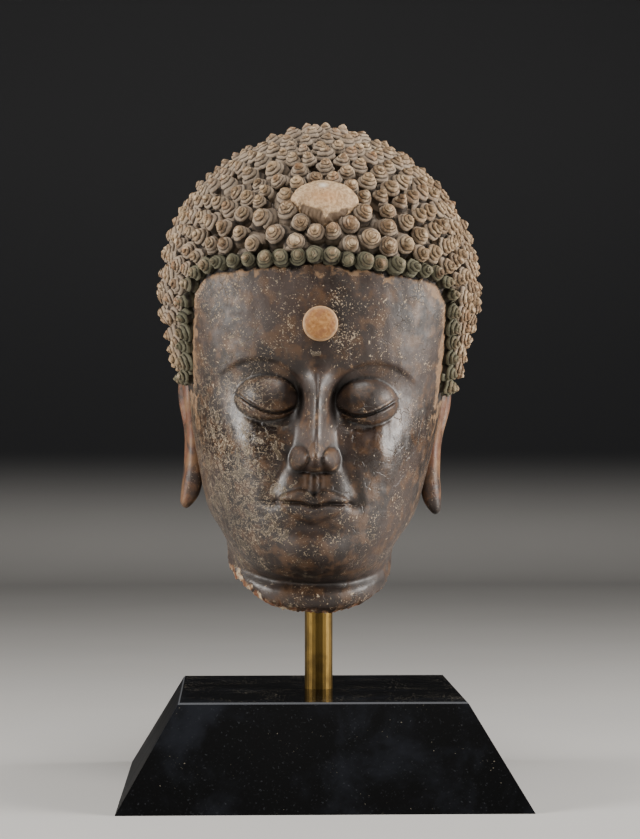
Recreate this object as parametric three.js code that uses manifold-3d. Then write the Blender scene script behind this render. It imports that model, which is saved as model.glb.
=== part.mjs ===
// Painted stucco head of a buddha, held up by a brass rod on a black stone plinth.
// Millimetres, +Z up, the face looks along -Y. The origin is the middle of the plinth's underside.

import * as THREE from 'three';
import { mergeVertices } from 'three/addons/utils/BufferGeometryUtils.js';
import { ConvexHull } from 'three/addons/math/ConvexHull.js';
import Module from 'manifold-3d';

const wasm = await Module();
wasm.setup();

const { sin, cos, abs, exp, sqrt, hypot, min, max, PI } = Math;

// Driving dimensions
const clearance = 0.3;       // between pieces that sit in one another
const plinthBase = 350;      // side of the square underside
const plinthTop = 248;       // side of the square top
const plinthHeight = 88;
const plinthArris = 1.5;     // the small chamfer round the top
const rodDiameter = 25;
const rodInPlinth = 40;
const rodShowing = 72;       // from the plinth's top to the lowest point of the neck
const rodInHead = 110;
const rodChamfer = 1.5;
const faceThird = 88;        // chin to nose, nose to brow and brow to hairline
const headShift = -10.5;       // the middle of the neck beside the rod, along X
const headLean = 2.2;        // degrees, the crown leans towards +X
const headTurn = -1;         // degrees, the face looks a little towards -X
const hairlinePitch = 14.3;  // between the curls of the row round the face
const curlPitchFront = 16;
const curlPitchBack = 21.5;
const curlHeight = 13;
const jewelWidth = 58;
const jewelAbove = 21;       // from its middle to its round top
const jewelBelow = 24;       // and down to its pointed lip
const jewelProud = 16.5;
const jewelSeat = 7;         // how deep the jewel is let into the hair
const urnaDiameter = 30;
const urnaProud = 5;
const urnaSeat = 5;

// The head is drawn in its own frame: height above the chin, for a face third of 88 mm
const drawnThird = 88;
const headScale = faceThird / drawnThird;
const neckBelowChin = 38;
const urnaRise = 212;        // its middle above the chin
const jewelRise = 73;        // its middle above the cranium's widest level
const neckFoot = plinthHeight + rodShowing;
const chinHeight = neckFoot + neckBelowChin * headScale;

const degrees = PI / 180;
const ramp = (low, high, x) => THREE.MathUtils.smoothstep(x, low, high);
const bell = (x, middle, reach) => exp(-(((x - middle) / reach) ** 2));
const clamp = THREE.MathUtils.clamp;

// Levels of the head: height, half width, depth to the front and to the back, squareness
const neckAndFace = [
  [-52, 60, 74, 64, 2.1], [-38, 67, 80, 68, 2.1], [-31, 72.5, 87, 71, 2.1], [-21, 74.5, 89, 72, 2.1],
  [-12, 74, 84, 71, 2.1], [-8, 74.5, 92, 71, 2.1], [-4, 76, 104, 72, 2.1], [3, 78, 116, 74, 2.1],
  [18, 83.5, 126, 79, 2.1], [38, 90.5, 130, 89, 2.15], [64, 97, 131.5, 105, 2.2],
  [92, 103.5, 132, 121, 2.25], [122, 109, 132.5, 134, 2.3], [152, 113.5, 134.5, 143, 2.3],
  [182, 119.5, 138.5, 149, 2.3], [212, 126.5, 140, 150.5, 2.25],
];
const neckSlant = { rise: 0.33, fullBelow: 5.5, goneAbove: 10.5 };
const cranium = { base: 242, rise: 145.5, halfWidth: 133.5, front: 138.5, back: 150.5, slimmer: 0.3 };
const craniumSteps = 6;
const levels = [...neckAndFace];
for (let i = 0; i <= craniumSteps; i++) {
  const a = (i * 90 / craniumSteps) * degrees;
  const { base, rise, halfWidth, front, back, slimmer } = cranium;
  const inwards = cos(a) * (1 - slimmer * sin(a) ** 6);
  levels.push([base + rise * sin(a), halfWidth * inwards, front * inwards, back * inwards, 2.2 - 0.03 * i]);
}
const topLevel = levels.length - 1;
const belowFirst = levels[0].map((value, k) => 2 * value - levels[1][k]);
const pastLast = levels[topLevel - 1].map((value, k) => (k === 0 || k === 4 ? value : -value));
const spline = [belowFirst, ...levels, pastLast];

function levelAt(v) {
  const held = clamp(v, 0, topLevel - 1e-9);
  const i = Math.floor(held);
  const t = held - i;
  return spline[i].map((p0, k) => {
    const [p1, p2, p3] = [spline[i + 1][k], spline[i + 2][k], spline[i + 3][k]];
    const bend = (2 * p0 - 5 * p1 + 4 * p2 - p3) * t * t + (3 * p1 - p0 - 3 * p2 + p3) * t ** 3;
    return 0.5 * (2 * p1 + (p2 - p0) * t + bend);
  });
}

// A point of the bare head: v runs up the levels, azimuth goes round from the front towards +X
function bareHead(v, azimuth) {
  const [height, halfWidth, front, back, squareness] = levelAt(v);
  const s = sin(azimuth);
  const c = cos(azimuth);
  const depth = max(c > 0 ? front : back, 1e-3);
  const power = (abs(s) / max(halfWidth, 1e-3)) ** squareness + (abs(c) / depth) ** squareness;
  const r = power ** (-1 / squareness);
  const slant = neckSlant.rise * (1 - ramp(neckSlant.fullBelow, neckSlant.goneAbove, v));
  return new THREE.Vector3(r * s, -r * c, height + slant * (front - r * c));
}

function bareNormal(v, azimuth) {
  const step = 0.01;
  const low = min(v, topLevel - 3 * step);
  const up = bareHead(low + step, azimuth).sub(bareHead(low - step, azimuth));
  const round = bareHead(low, azimuth + step).sub(bareHead(low, azimuth - step));
  return round.cross(up).normalize();
}

// The face: how far its relief stands forward of the bare head, calm and symmetrical
const nose = drawnThird;
const brow = 2 * drawnThird;
const eye = { x: 42, height: brow - 0.3 * drawnThird };
const mouth = { height: nose - drawnThird / 3, halfWidth: 30.5 };

function eyeRelief(a, h) {
  let d = -8 * bell(a, 37, 27) * bell(h, eye.height + 6, 22) - 7 * bell(a, 18, 8) * bell(h, eye.height + 1, 17);
  const base = eye.height - 6;
  const arc = { peak: 50, rise: brow + 11 - eye.height, root: 9 };
  const inner = (hypot((arc.peak - a) / (arc.peak - arc.root), (h - base) / arc.rise) - 1) * 26;
  const outer = h - (base + arc.rise - 0.012 * (a - arc.peak) ** 2);
  let above = a < arc.peak ? inner : outer;
  if (h < base) above = max(above, arc.root - a);
  const recess = ramp(-1.2, 1.8, -above) * exp(-((max(-above - 2, 0) / 15) ** 2));
  d -= 3.6 * recess * (1 - ramp(66, 92, a)) * ramp(base - 34, base + 8, h);
  const ball = 1 - ((a - eye.x - 1) / 27) ** 2 - ((h - eye.height + 2) / 19.5) ** 2;
  d += 13.5 * max(ball, 0) ** 0.62;
  const along = clamp((a - 19) / 47, 0, 1.35);
  const slit = eye.height - 7.5 - 6.5 * sin(PI * min(along, 1) ** 0.85) + 8 * along ** 2;
  const under = slit - h;
  const span = ramp(17, 23, a) * (1 - ramp(62, 74, a));
  if (under < 0) d += 1.3 * span * bell(under, 0, 3.2);
  d -= 3.4 * span * ramp(-0.3, 0.7, under) * (1 - ramp(2.2, 3.6, under));
  d += 0.9 * span * ramp(2.6, 3.8, under) * (1 - ramp(4, 10, under));
  return d - 1.6 * span * bell(under, 13.5, 2.6) * bell(a, eye.x, 20);
}

function noseRelief(a, h) {
  const t = (brow - h) / drawnThird;
  const ridge = 0.5 + 7.5 * ramp(0, 0.34, t) + 26 * clamp(t, 0, 1.2);
  const tip = 0.85;
  const roll = t > tip ? sqrt(max(1 - ((t - tip) / 0.165) ** 2, 0)) : 1;
  const halfWidth = 15 + 9 * clamp(t, 0, 1) ** 2;
  let d = ridge * roll * ramp(-0.25, 0.12, t) * (1 - ramp(0, 1, a / halfWidth));
  d += 4 * bell(a, 0, 9) * bell(h, nose + 13, 9);
  const wing = 1 - ((a - 14) / 8.2) ** 2 - ((h - nose - 9.5) / 10) ** 2;
  d += 11.5 * sqrt(max(wing, 0)) * (1 - ramp(19, 24, a));
  return d - 6 * bell(a, 8.5, 3.6) * bell(h, nose + 0.5, 3.2);
}

function mouthRelief(a, h) {
  const { halfWidth } = mouth;
  let d = 6.5 * bell(a, 0, 33) * bell(h, mouth.height + 1, 25);
  const philtrum = ramp(mouth.height + 9, mouth.height + 14, h) * (1 - ramp(nose - 5, nose + 1, h));
  d += (0.9 * bell(a, 5.2, 2.4) - 1.7 * bell(a, 0, 3)) * philtrum;
  const e = min(a / halfWidth, 1);
  const line = mouth.height - 1.8 * bell(a, 0, 6) + 0.9 * bell(a, 13, 8) + 1.2 * e ** 3;
  const bow = 10.5 * sqrt(1 - e ** 2.2) - 2.4 * bell(a, 0, 4.2) + 0.8 * bell(a, 7, 4);
  const lower = 13.5 * sqrt(1 - min(e / 0.86, 1) ** 2.2);
  const fade = 1 - ramp(halfWidth - 3.5, halfWidth + 1.5, a);
  if (h >= line) {
    const q = clamp((h - line) / max(1.2 + bow, 1), 0, 1.5);
    d += 5.6 * fade * sin(PI * min(0.2 + 0.62 * q, 1)) ** 0.9 * (1 - ramp(0.9, 1.14, q));
  } else {
    const q = clamp((line - h) / max(0.8 + lower, 1), 0, 1.5);
    d += 7.4 * fade * max(sin(PI * min(0.16 + 0.66 * q, 1)), 0) ** 0.9 * (1 - ramp(0.85, 1.2, q));
  }
  d -= 3.8 * bell(h, line, 1.5) * (1 - ramp(halfWidth - 1, halfWidth + 5, a));
  return d - 3.6 * bell(a, halfWidth + 2.5, 4.5) * bell(h, mouth.height + 1, 4.5);
}

function cheekAndChinRelief(a, h) {
  let d = 6 * bell(a, 0, 25) * bell(h, 17, 16) - 5 * bell(a, 0, 22) * bell(h, mouth.height - 22, 6.5);
  d += 5 * bell(a, 62, 27) * bell(h, nose + 14, 34);
  const fold = new THREE.Line3(new THREE.Vector3(22, nose + 12, 0), new THREE.Vector3(39, mouth.height + 2, 0));
  const here = new THREE.Vector3(a, h, 0);
  const away = fold.closestPointToPoint(here, true, new THREE.Vector3()).distanceTo(here);
  return d - 2.2 * bell(away, 0, 5.5);
}

function skin(v, azimuth) {
  const point = bareHead(v, azimuth);
  const a = abs(point.x);
  const h = point.z;
  const relief = eyeRelief(a, h) + noseRelief(a, h) + mouthRelief(a, h) + cheekAndChinRelief(a, h);
  point.y -= relief * ramp(0.15, 0.55, cos(azimuth));
  return point;
}

// Laying the head out on a sphere, true in its angles, to join up points that follow no grid
const layoutSteps = 900;
const stretch = [0];
for (let i = 1; i <= layoutSteps; i++) {
  const v = (i / layoutSteps) * topLevel * 0.999;
  const before = ((i - 1) / layoutSteps) * topLevel * 0.999;
  const side = bareHead(v, PI / 2).distanceTo(bareHead(before, PI / 2));
  const front = bareHead(v, 0).distanceTo(bareHead(before, 0));
  const [, halfWidth, forward, back] = levelAt((v + before) / 2);
  stretch.push(stretch[i - 1] + (side + front) / (halfWidth + (forward + back) / 2));
}
const equatorStretch = stretch[Math.round(layoutSteps * 0.72)];

function toSphere(v, azimuth) {
  const place = clamp(v / (topLevel * 0.999), 0, 1) * layoutSteps;
  const i = min(Math.floor(place), layoutSteps - 1);
  const s = THREE.MathUtils.lerp(stretch[i], stretch[i + 1], place - i) - equatorStretch;
  const polar = v >= topLevel ? 0 : 2 * Math.atan(exp(-s));
  return new THREE.Vector3(sin(polar) * sin(azimuth), -sin(polar) * cos(azimuth), cos(polar));
}

function fromSphere(direction) {
  const polar = Math.acos(clamp(direction.z, -1, 1));
  const s = equatorStretch - Math.log(max(Math.tan(polar / 2), 1e-9));
  const above = stretch.findIndex((value) => value > s);
  const i = above < 0 ? layoutSteps : above;
  const place = i === layoutSteps && above < 0 ? i : i - 1 + (s - stretch[i - 1]) / (stretch[i] - stretch[i - 1]);
  return { v: (place / layoutSteps) * topLevel * 0.999, azimuth: Math.atan2(direction.x, -direction.y) };
}

// The hairline: azimuth from the front in degrees, and height; it goes over the ears and down the nape
const hairline = [
  [0, 263.5], [10, 260.5], [20, 258.5], [32, 256.5], [46, 253.5], [51.5, 243.5], [57, 211], [63, 173],
  [67, 158], [79, 158], [84, 200], [108, 202], [114, 112], [124, 58], [180, 56],
];

function hairlineHeight(azimuth) {
  const angle = abs(Math.atan2(sin(azimuth), cos(azimuth))) / degrees;
  const i = clamp(hairline.findIndex(([at]) => at >= angle), 1, hairline.length - 1);
  const [[a0, h0], [a1, h1]] = [hairline[i - 1], hairline[i]];
  return THREE.MathUtils.lerp(h0, h1, clamp((angle - a0) / (a1 - a0), 0, 1));
}

function levelOfHeight(height) {
  let [low, high] = [0, topLevel];
  for (let i = 0; i < 30; i++) {
    const middle = (low + high) / 2;
    if (levelAt(middle)[0] < height) low = middle;
    else high = middle;
  }
  return (low + high) / 2;
}

// Picks points of a closed path at equal steps of length
function atEqualSteps(path, pitch) {
  const run = [0];
  for (let i = 1; i < path.length; i++) run.push(run[i - 1] + path[i].point.distanceTo(path[i - 1].point));
  const whole = run[path.length - 1];
  const count = Math.round(whole / pitch);
  return Array.from({ length: count }, (_, k) => path[run.findIndex((way) => way >= ((k + 0.5) / count) * whole)]);
}

function alongHairline(pitch, above) {
  const fine = 3600;
  const path = Array.from({ length: fine + 1 }, (_, i) => {
    const azimuth = (i / fine) * 2 * PI;
    const v = levelOfHeight(hairlineHeight(azimuth) + above);
    return { v, azimuth, point: bareHead(v, azimuth) };
  });
  return atEqualSteps(path, pitch);
}

const jewelLevel = levelOfHeight(cranium.base + jewelRise);
const urnaLevel = levelOfHeight(urnaRise);
const jewelPlace = bareHead(jewelLevel, 0);

// Curls are set row on row from the hairline inwards, each as near to it as its neighbours allow
function setCurls() {
  const hairlinePitchDrawn = hairlinePitch / headScale;
  const edge = alongHairline(3 / headScale, 0).map(({ point }) => point);
  const fromEdge = (point) => min(...edge.map((other) => other.distanceTo(point)));
  const pitchAt = ({ point, far }) => {
    const towardsBack = ramp(-60, 120, point.y) * ramp(0, 120, far);
    return THREE.MathUtils.lerp(curlPitchFront, curlPitchBack, towardsBack) / headScale;
  };
  const farFrom = (curls, spot, gap) => curls.every(({ point }) => point.distanceTo(spot.point) > gap);
  const curls = alongHairline(hairlinePitchDrawn, hairlinePitchDrawn / 2);
  for (const spot of aroundJewel()) {
    if (farFrom(curls, spot, curlPitchFront * 0.85 / headScale)) curls.push(spot);
  }
  const fixed = curls.length;
  const candidates = [];
  const grain = 2.4;
  for (let v = levelOfHeight(60); v < topLevel; v += 0.06) {
    const round = max(levelAt(v)[1], 1);
    const count = Math.ceil((2 * PI * round) / grain);
    for (let i = 0; i < count; i++) {
      const azimuth = (i / count) * 2 * PI;
      const point = bareHead(v, azimuth);
      if (point.z < hairlineHeight(azimuth) + hairlinePitchDrawn / 2) continue;
      candidates.push({ v, azimuth, point, far: fromEdge(point) });
    }
  }
  candidates.sort((one, other) => one.far - other.far);
  for (const spot of candidates) {
    if (spot.point.distanceTo(jewelPlace) < jewelAbove / headScale) continue;
    if (farFrom(curls, spot, pitchAt(spot) * 0.97)) curls.push(spot);
  }
  return evenOut(curls, fixed);
}

// A ring of curls that crowd against the jewel's edge
function aroundJewel() {
  const pitch = curlPitchFront / headScale;
  const out = bareNormal(jewelLevel, 0);
  const up = new THREE.Vector3(0, out.z, -out.y);
  const fine = 240;
  const path = Array.from({ length: fine + 1 }, (_, i) => {
    const angle = (i / fine) * 2 * PI;
    const reach = jewelOutline(angle) / headScale + pitch / 2 - 2;
    const near = jewelPlace.clone().addScaledVector(up, reach * sin(angle));
    near.x += reach * cos(angle);
    return nearestOnHead(near);
  });
  return atEqualSteps(path, pitch);
}

function nearestOnHead(point) {
  const azimuth = Math.atan2(point.x, -point.y);
  let best = null;
  for (let v = 0; v < topLevel; v += 0.02) {
    const on = bareHead(v, azimuth);
    const away = on.distanceToSquared(point);
    if (!best || away < best.away) best = { v, azimuth, point: on, away };
  }
  return best;
}

// Moves each curl that isn't in a set row towards the middle of its neighbours
function evenOut(curls, fixed) {
  const directions = curls.map(({ v, azimuth }) => toSphere(v, azimuth));
  for (let pass = 0; pass < 3; pass++) {
    const sums = directions.map(() => new THREE.Vector3());
    const counts = directions.map(() => 0);
    for (const corners of triangulate(directions)) {
      corners.forEach((i, k) => {
        sums[i].add(directions[corners[(k + 1) % 3]]);
        counts[i] += 1;
      });
    }
    directions.forEach((direction, i) => {
      if (i >= fixed) direction.lerp(sums[i].divideScalar(counts[i]), 0.6).normalize();
    });
  }
  return directions.map((direction) => ({ ...fromSphere(direction), curl: true }));
}

// Points of the bare skin: close together at the features, wide apart at the jaw and the neck
function setSkin() {
  const across = [0, 4, 8.5, 13, 18, 23.5, 29, 35, 41, 47, 53, 60, 68, 77, 86, 95, 103];
  const bands = [[-46, 12, 7.5], [12, 46, 6.5], [46, 66, 4], [66, 86, 5.5], [86, 106, 4.6], [106, 126, 6.5],
    [126, 172, 4.4], [172, 192, 6.5], [192, 262, 11]];
  const spots = [];
  let row = 0;
  for (const [low, high, step] of bands) {
    const count = Math.round((high - low) / step);
    for (let i = 0; i < count; i++, row++) {
      const height = low + ((i + 0.5) / count) * (high - low);
      const v = levelOfHeight(height);
      const [, halfWidth, front] = levelAt(v);
      for (const x of across) {
        const plain = height > 192 || height < 20;
        const detail = plain ? x < 14 && row % 2 === 0 || [18, 29, 41, 53, 68, 86].includes(x) || x === 0 : true;
        if (!detail || (x > 60 && row % 2) || x > halfWidth * 0.93) continue;
        const azimuth = Math.asin(x / halfWidth) * (1 - 0.1 * (1 - front / 141));
        for (const side of x ? [-1, 1] : [1]) spots.push({ v, azimuth: side * azimuth });
      }
    }
  }
  for (let height = -46; height < 190; height += 14) {
    const v = levelOfHeight(height);
    for (let angle = 72; angle <= 180; angle += 12) {
      for (const side of angle < 180 ? [-1, 1] : [1]) spots.push({ v, azimuth: side * angle * degrees });
    }
  }
  const room = hairlinePitch / headScale / 2;
  return spots.filter(({ v, azimuth }) => levelAt(v)[0] < hairlineHeight(azimuth) - room);
}

function triangulate(directions) {
  const order = new Map(directions.map((direction, i) => [direction, i]));
  const hull = new ConvexHull().setFromPoints(directions);
  return hull.faces.map((face) => {
    const corners = [];
    let side = face.edge;
    do {
      corners.push(order.get(side.head().point));
      side = side.next;
    } while (side !== face.edge);
    return corners;
  });
}

// Turns the shared side of two skin triangles where the other diagonal lies closer to the skin
function fitDiagonals(triangles, directions, points, isSkin) {
  const misfit = (i, j) => {
    const { v, azimuth } = fromSphere(directions[i].clone().add(directions[j]).normalize());
    return skin(v, azimuth).distanceTo(points[i].clone().add(points[j]).divideScalar(2));
  };
  const turnsLeft = (i, j, k) => directions[i].dot(directions[j].clone().cross(directions[k])) > 1e-7;
  for (let pass = 0; pass < 3; pass++) {
    const owner = new Map();
    triangles.forEach((corners, t) => corners.forEach((i, k) => owner.set(`${i} ${corners[(k + 1) % 3]}`, t)));
    const touched = new Set();
    for (const [side, t] of owner) {
      const [i, j] = side.split(' ').map(Number);
      const u = owner.get(`${j} ${i}`);
      if (i > j || touched.has(t) || touched.has(u)) continue;
      const a = triangles[t].find((k) => k !== i && k !== j);
      const b = triangles[u].find((k) => k !== i && k !== j);
      if (![i, j, a, b].every(isSkin) || !turnsLeft(a, b, j) || !turnsLeft(b, a, i)) continue;
      if (misfit(a, b) > misfit(i, j) - 0.05) continue;
      triangles[t] = [i, b, a];
      triangles[u] = [b, j, a];
      touched.add(t).add(u);
    }
  }
}

// From the head's own frame to the object's
const turned = new THREE.Matrix4().makeRotationY(headLean * degrees)
  .multiply(new THREE.Matrix4().makeRotationZ(headTurn * degrees));
const headFrame = new THREE.Matrix4().makeTranslation(headShift, 0, neckFoot)
  .multiply(turned)
  .multiply(new THREE.Matrix4().makeTranslation(0, 0, chinHeight - neckFoot))
  .multiply(new THREE.Matrix4().makeScale(headScale, headScale, headScale));

function closedGeometry(points, triangles) {
  const geometry = new THREE.BufferGeometry();
  const positions = points.flatMap((point) => point.toArray());
  geometry.setAttribute('position', new THREE.Float32BufferAttribute(positions, 3));
  geometry.setIndex(triangles.flat());
  return geometry;
}

function headWithHair() {
  const curls = setCurls();
  const valley = 0.8;
  const edge = alongHairline(hairlinePitch / headScale, 0).map(({ v, azimuth }) => ({ v, azimuth }));
  const spots = [...curls, ...edge, ...setSkin(), { v: 0, azimuth: 0, foot: true }];
  const rim = 24;
  for (let i = 0; i < rim; i++) spots.push({ v: 0, azimuth: (i / rim) * 2 * PI });
  const foot = spots.findIndex((spot) => spot.foot);
  const directions = spots.map(({ v, azimuth }) => toSphere(v, azimuth));
  directions[foot].set(0, 0, -1);
  const points = spots.map((spot) => {
    if (spot.foot) return new THREE.Vector3(0, 0, levels[0][0]);
    if (!spot.curl) return skin(spot.v, spot.azimuth);
    return bareHead(spot.v, spot.azimuth).addScaledVector(bareNormal(spot.v, spot.azimuth), curlHeight / headScale);
  });
  const halfway = new Map();
  const between = (i, j) => {
    const key = i < j ? `${i} ${j}` : `${j} ${i}`;
    if (!halfway.has(key)) {
      const { v, azimuth } = fromSphere(directions[i].clone().add(directions[j]).normalize());
      halfway.set(key, points.length);
      points.push(bareHead(v, azimuth).addScaledVector(bareNormal(v, azimuth), valley));
    }
    return halfway.get(key);
  };
  const sides = triangulate(directions);
  fitDiagonals(sides, directions, points, (i) => !spots[i].curl && i !== foot);
  const triangles = [];
  for (const corners of sides) {
    const curled = corners.filter((i) => spots[i].curl);
    if (curled.length === 3) {
      const [a, b, c] = corners;
      const [ab, bc, ca] = [between(a, b), between(b, c), between(c, a)];
      triangles.push([a, ab, ca], [b, bc, ab], [c, ca, bc], [ab, bc, ca]);
    } else if (curled.length === 2) {
      const start = corners.findIndex((i) => !spots[i].curl);
      const [bare, one, two] = [0, 1, 2].map((k) => corners[(start + k) % 3]);
      const middle = between(one, two);
      triangles.push([bare, one, middle], [bare, middle, two]);
    } else {
      triangles.push(corners);
    }
  }
  return closedGeometry(points, triangles);
}

// A closed skin over rings of equal count, with a point at each end
function loft(rings, first, last) {
  const around = rings[0].length;
  const points = [first, ...rings.flat(), last];
  const triangles = [];
  for (let k = 0; k < around; k++) {
    const next = (k + 1) % around;
    triangles.push([0, 1 + next, 1 + k]);
    for (let i = 0; i + 1 < rings.length; i++) {
      const [a, b] = [1 + i * around + k, 1 + i * around + next];
      triangles.push([a, b, b + around], [a, b + around, a + around]);
    }
    const top = 1 + (rings.length - 1) * around;
    triangles.push([points.length - 1, top + k, top + next]);
  }
  return closedGeometry(points, triangles);
}

// A long ear, hollow inside its rim above and smooth down the lobe, standing off the jaw
const ear = { foot: 49.5, footDrop: 1.5, top: 196, middle: 12, lobe: 20, waist: 13.5, rim: 19, rings: 13, around: 14 };

function earGeometry(side) {
  const rings = [];
  const foot = ear.foot + side * ear.footDrop;
  const thicknessAt = (t) => {
    const lower = THREE.MathUtils.lerp(ear.lobe, ear.waist, ramp(0.1, 0.4, t));
    return lower + (ear.rim - ear.waist) * ramp(0.5, 0.8, t);
  };
  const centreAt = (t) => {
    const outer = 116 + 8 * ramp(0.4, 0.74, t) + 4 * bell(t, 0.06, 0.13);
    const flared = 3.5 * (1 - ramp(0, 0.12, t)) ** 2;
    return [outer - thicknessAt(t) / 2 + flared, ear.middle - 5 + 11 * t, foot + (ear.top - foot) * t];
  };
  for (let i = 0; i < ear.rings; i++) {
    const t = 0.5 - 0.5 * cos(((i + 0.7) / (ear.rings + 0.4)) * PI);
    const ends = sqrt(1 - (2 * t - 1) ** 4);
    const halfWidth = (14.5 + 9 * ramp(0.42, 0.72, t)) * ends;
    const halfThick = (thicknessAt(t) / 2) * sqrt(1 - abs(2 * t - 1) ** 6);
    const [x, y, h] = centreAt(t);
    const hollow = 7.5 * ramp(0.46, 0.6, t) * (1 - ramp(0.84, 0.93, t)) + 1.6 * bell(t, 0.25, 0.16);
    const ring = [];
    for (let k = 0; k < ear.around; k++) {
      const angle = (k / ear.around) * 2 * PI;
      const [c, s] = [cos(angle), sin(angle)];
      const out = Math.sign(c) * abs(c) ** 0.7 * halfThick;
      const along = Math.sign(s) * abs(s) ** 0.85 * halfWidth;
      const sunk = c > 0 ? hollow * (1 - ramp(0.3, 0.75, abs(along) / halfWidth)) : 0;
      ring.push(new THREE.Vector3(side * (x + out - sunk + 0.18 * along), y + along, h));
    }
    rings.push(side > 0 ? ring : ring.reverse());
  }
  const end = (t) => {
    const [x, y, h] = centreAt(t);
    return new THREE.Vector3(side * x, y, h);
  };
  return loft(rings, end(0), end(1));
}

// The dome and outline that the jewel, its seat and the urna share: rings from the edge to the middle
function cabochon(outline, proud, seat, rings, around) {
  const levelsOut = [[1, -seat], [1, proud * 0.18]];
  for (let i = 1; i <= rings; i++) {
    const a = (i / (rings + 1)) * 90 * degrees;
    levelsOut.push([cos(a), proud * (0.18 + 0.82 * sin(a))]);
  }
  const stack = levelsOut.map(([share, out]) => Array.from({ length: around }, (_, k) => {
    const angle = (k / around) * 2 * PI;
    const r = outline(angle) * share;
    return new THREE.Vector3(r * cos(angle), r * sin(angle), out);
  }));
  return loft(stack, new THREE.Vector3(0, 0, -seat), new THREE.Vector3(0, 0, proud));
}

function prism(outline, low, high, around) {
  const stack = [low, high].map((out) => Array.from({ length: around }, (_, k) => {
    const angle = (k / around) * 2 * PI;
    return new THREE.Vector3(outline(angle) * cos(angle), outline(angle) * sin(angle), out);
  }));
  return loft(stack, new THREE.Vector3(0, 0, low), new THREE.Vector3(0, 0, high));
}

// The jewel's outline: round above, and drawn in below to a lip between two blunt corners
const jewelSides = 30;
function jewelOutline(angle) {
  const [reach, power] = sin(angle) < 0 ? [jewelBelow, 1.35] : [jewelAbove, 2];
  const share = (abs(cos(angle)) / (jewelWidth / 2)) ** power + (abs(sin(angle)) / reach) ** power;
  return share ** (-1 / power);
}
const urnaSides = 24;
const urnaOutline = () => urnaDiameter / 2;
const widened = (outline) => (angle) => outline(angle) + clearance;

// Where a piece that is let into the head has its own frame: its +Z points out of the head
function letInto(level) {
  const place = bareHead(level, 0).applyMatrix4(headFrame);
  const out = bareNormal(level, 0).transformDirection(turned);
  const right = new THREE.Vector3(1, 0, 0).transformDirection(turned);
  const up = out.clone().cross(right);
  return new THREE.Matrix4().makeBasis(right, up, out).setPosition(place);
}
const jewelFrame = letInto(jewelLevel);
const urnaFrame = letInto(urnaLevel);

// The broken foot of the neck: it slopes up to the back and a little to -X, with a chip at the front left
function breakHeight(x, y) {
  const behind = max(y + 80, 0);
  const slope = neckFoot + behind * (0.62 - 0.0012 * behind);
  const rough = 1.8 * sin(x * 0.16 + 1) * cos(y * 0.13) + 1.2 * sin(x * 0.31 - y * 0.23);
  const chip = 8 * bell(x, -60, 11) * bell(y, -48, 16);
  return slope + 1.5 - 0.08 * (x - headShift) + rough * ramp(-84, -60, y) + chip;
}

function neckBreak() {
  const reach = 105;
  const cells = 18;
  const floor = neckFoot - 40;
  const geometry = new THREE.BoxGeometry(2 * reach, 2 * reach, 40, cells, cells, 1);
  geometry.translate(0, 0, floor + 20);
  const place = geometry.attributes.position;
  for (let i = 0; i < place.count; i++) {
    if (place.getZ(i) > floor + 30) place.setZ(i, breakHeight(place.getX(i), place.getY(i)));
  }
  return geometry;
}

// Solids, for cutting and joining
function solid(geometry) {
  const bare = geometry.clone();
  bare.deleteAttribute('normal');
  bare.deleteAttribute('uv');
  const merged = mergeVertices(bare, 1e-4);
  const vertProperties = new Float32Array(merged.attributes.position.array);
  const triVerts = new Uint32Array(merged.index.array);
  return new wasm.Manifold(new wasm.Mesh({ numProp: 3, vertProperties, triVerts }));
}

function geometryOf(shape) {
  const { vertProperties, triVerts } = shape.getMesh();
  const geometry = new THREE.BufferGeometry();
  geometry.setAttribute('position', new THREE.BufferAttribute(new Float32Array(vertProperties), 3));
  geometry.setIndex(new THREE.BufferAttribute(new Uint32Array(triVerts), 1));
  geometry.computeVertexNormals();
  return geometry;
}

const rodSides = 24;
function bar(radius, low, high, chamfer = 0) {
  const profile = [
    new THREE.Vector2(0, low), new THREE.Vector2(radius - chamfer, low), new THREE.Vector2(radius, low + chamfer),
    new THREE.Vector2(radius, high - chamfer), new THREE.Vector2(radius - chamfer, high), new THREE.Vector2(0, high),
  ];
  const kept = chamfer ? profile : profile.filter((_, i) => i !== 2 && i !== 3);
  return new THREE.LatheGeometry(kept, rodSides).rotateX(PI / 2);
}

const rodFoot = plinthHeight - rodInPlinth;
const rodTop = neckFoot + rodInHead;

function plinthGeometry() {
  const corner = Math.SQRT1_2;
  const profile = [
    new THREE.Vector2(0, 0), new THREE.Vector2(plinthBase * corner, 0),
    new THREE.Vector2(plinthTop * corner, plinthHeight - plinthArris),
    new THREE.Vector2((plinthTop - 2 * plinthArris) * corner, plinthHeight), new THREE.Vector2(0, plinthHeight),
  ];
  const block = new THREE.LatheGeometry(profile, 4, PI / 4).rotateX(PI / 2);
  const socket = bar(rodDiameter / 2 + clearance, rodFoot - clearance, plinthHeight + rodShowing / 2);
  return geometryOf(solid(block).subtract(solid(socket)));
}

function headGeometry() {
  let shape = solid(headWithHair().applyMatrix4(headFrame));
  for (const side of [-1, 1]) shape = shape.add(solid(earGeometry(side).applyMatrix4(headFrame)));
  shape = shape.subtract(solid(neckBreak()));
  shape = shape.subtract(solid(bar(rodDiameter / 2 + clearance, neckFoot - rodShowing / 2, rodTop + clearance)));
  const outside = 60;
  const jewelHole = prism(widened(jewelOutline), -jewelSeat - clearance, outside, jewelSides);
  const urnaHole = prism(widened(urnaOutline), -urnaSeat - clearance, outside, urnaSides);
  shape = shape.subtract(solid(jewelHole.applyMatrix4(jewelFrame)));
  return geometryOf(shape.subtract(solid(urnaHole.applyMatrix4(urnaFrame))));
}

// The object
const finish = (color, roughness, metalness = 0) => new THREE.MeshStandardMaterial({ color, roughness, metalness });
const object = new THREE.Group();

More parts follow.
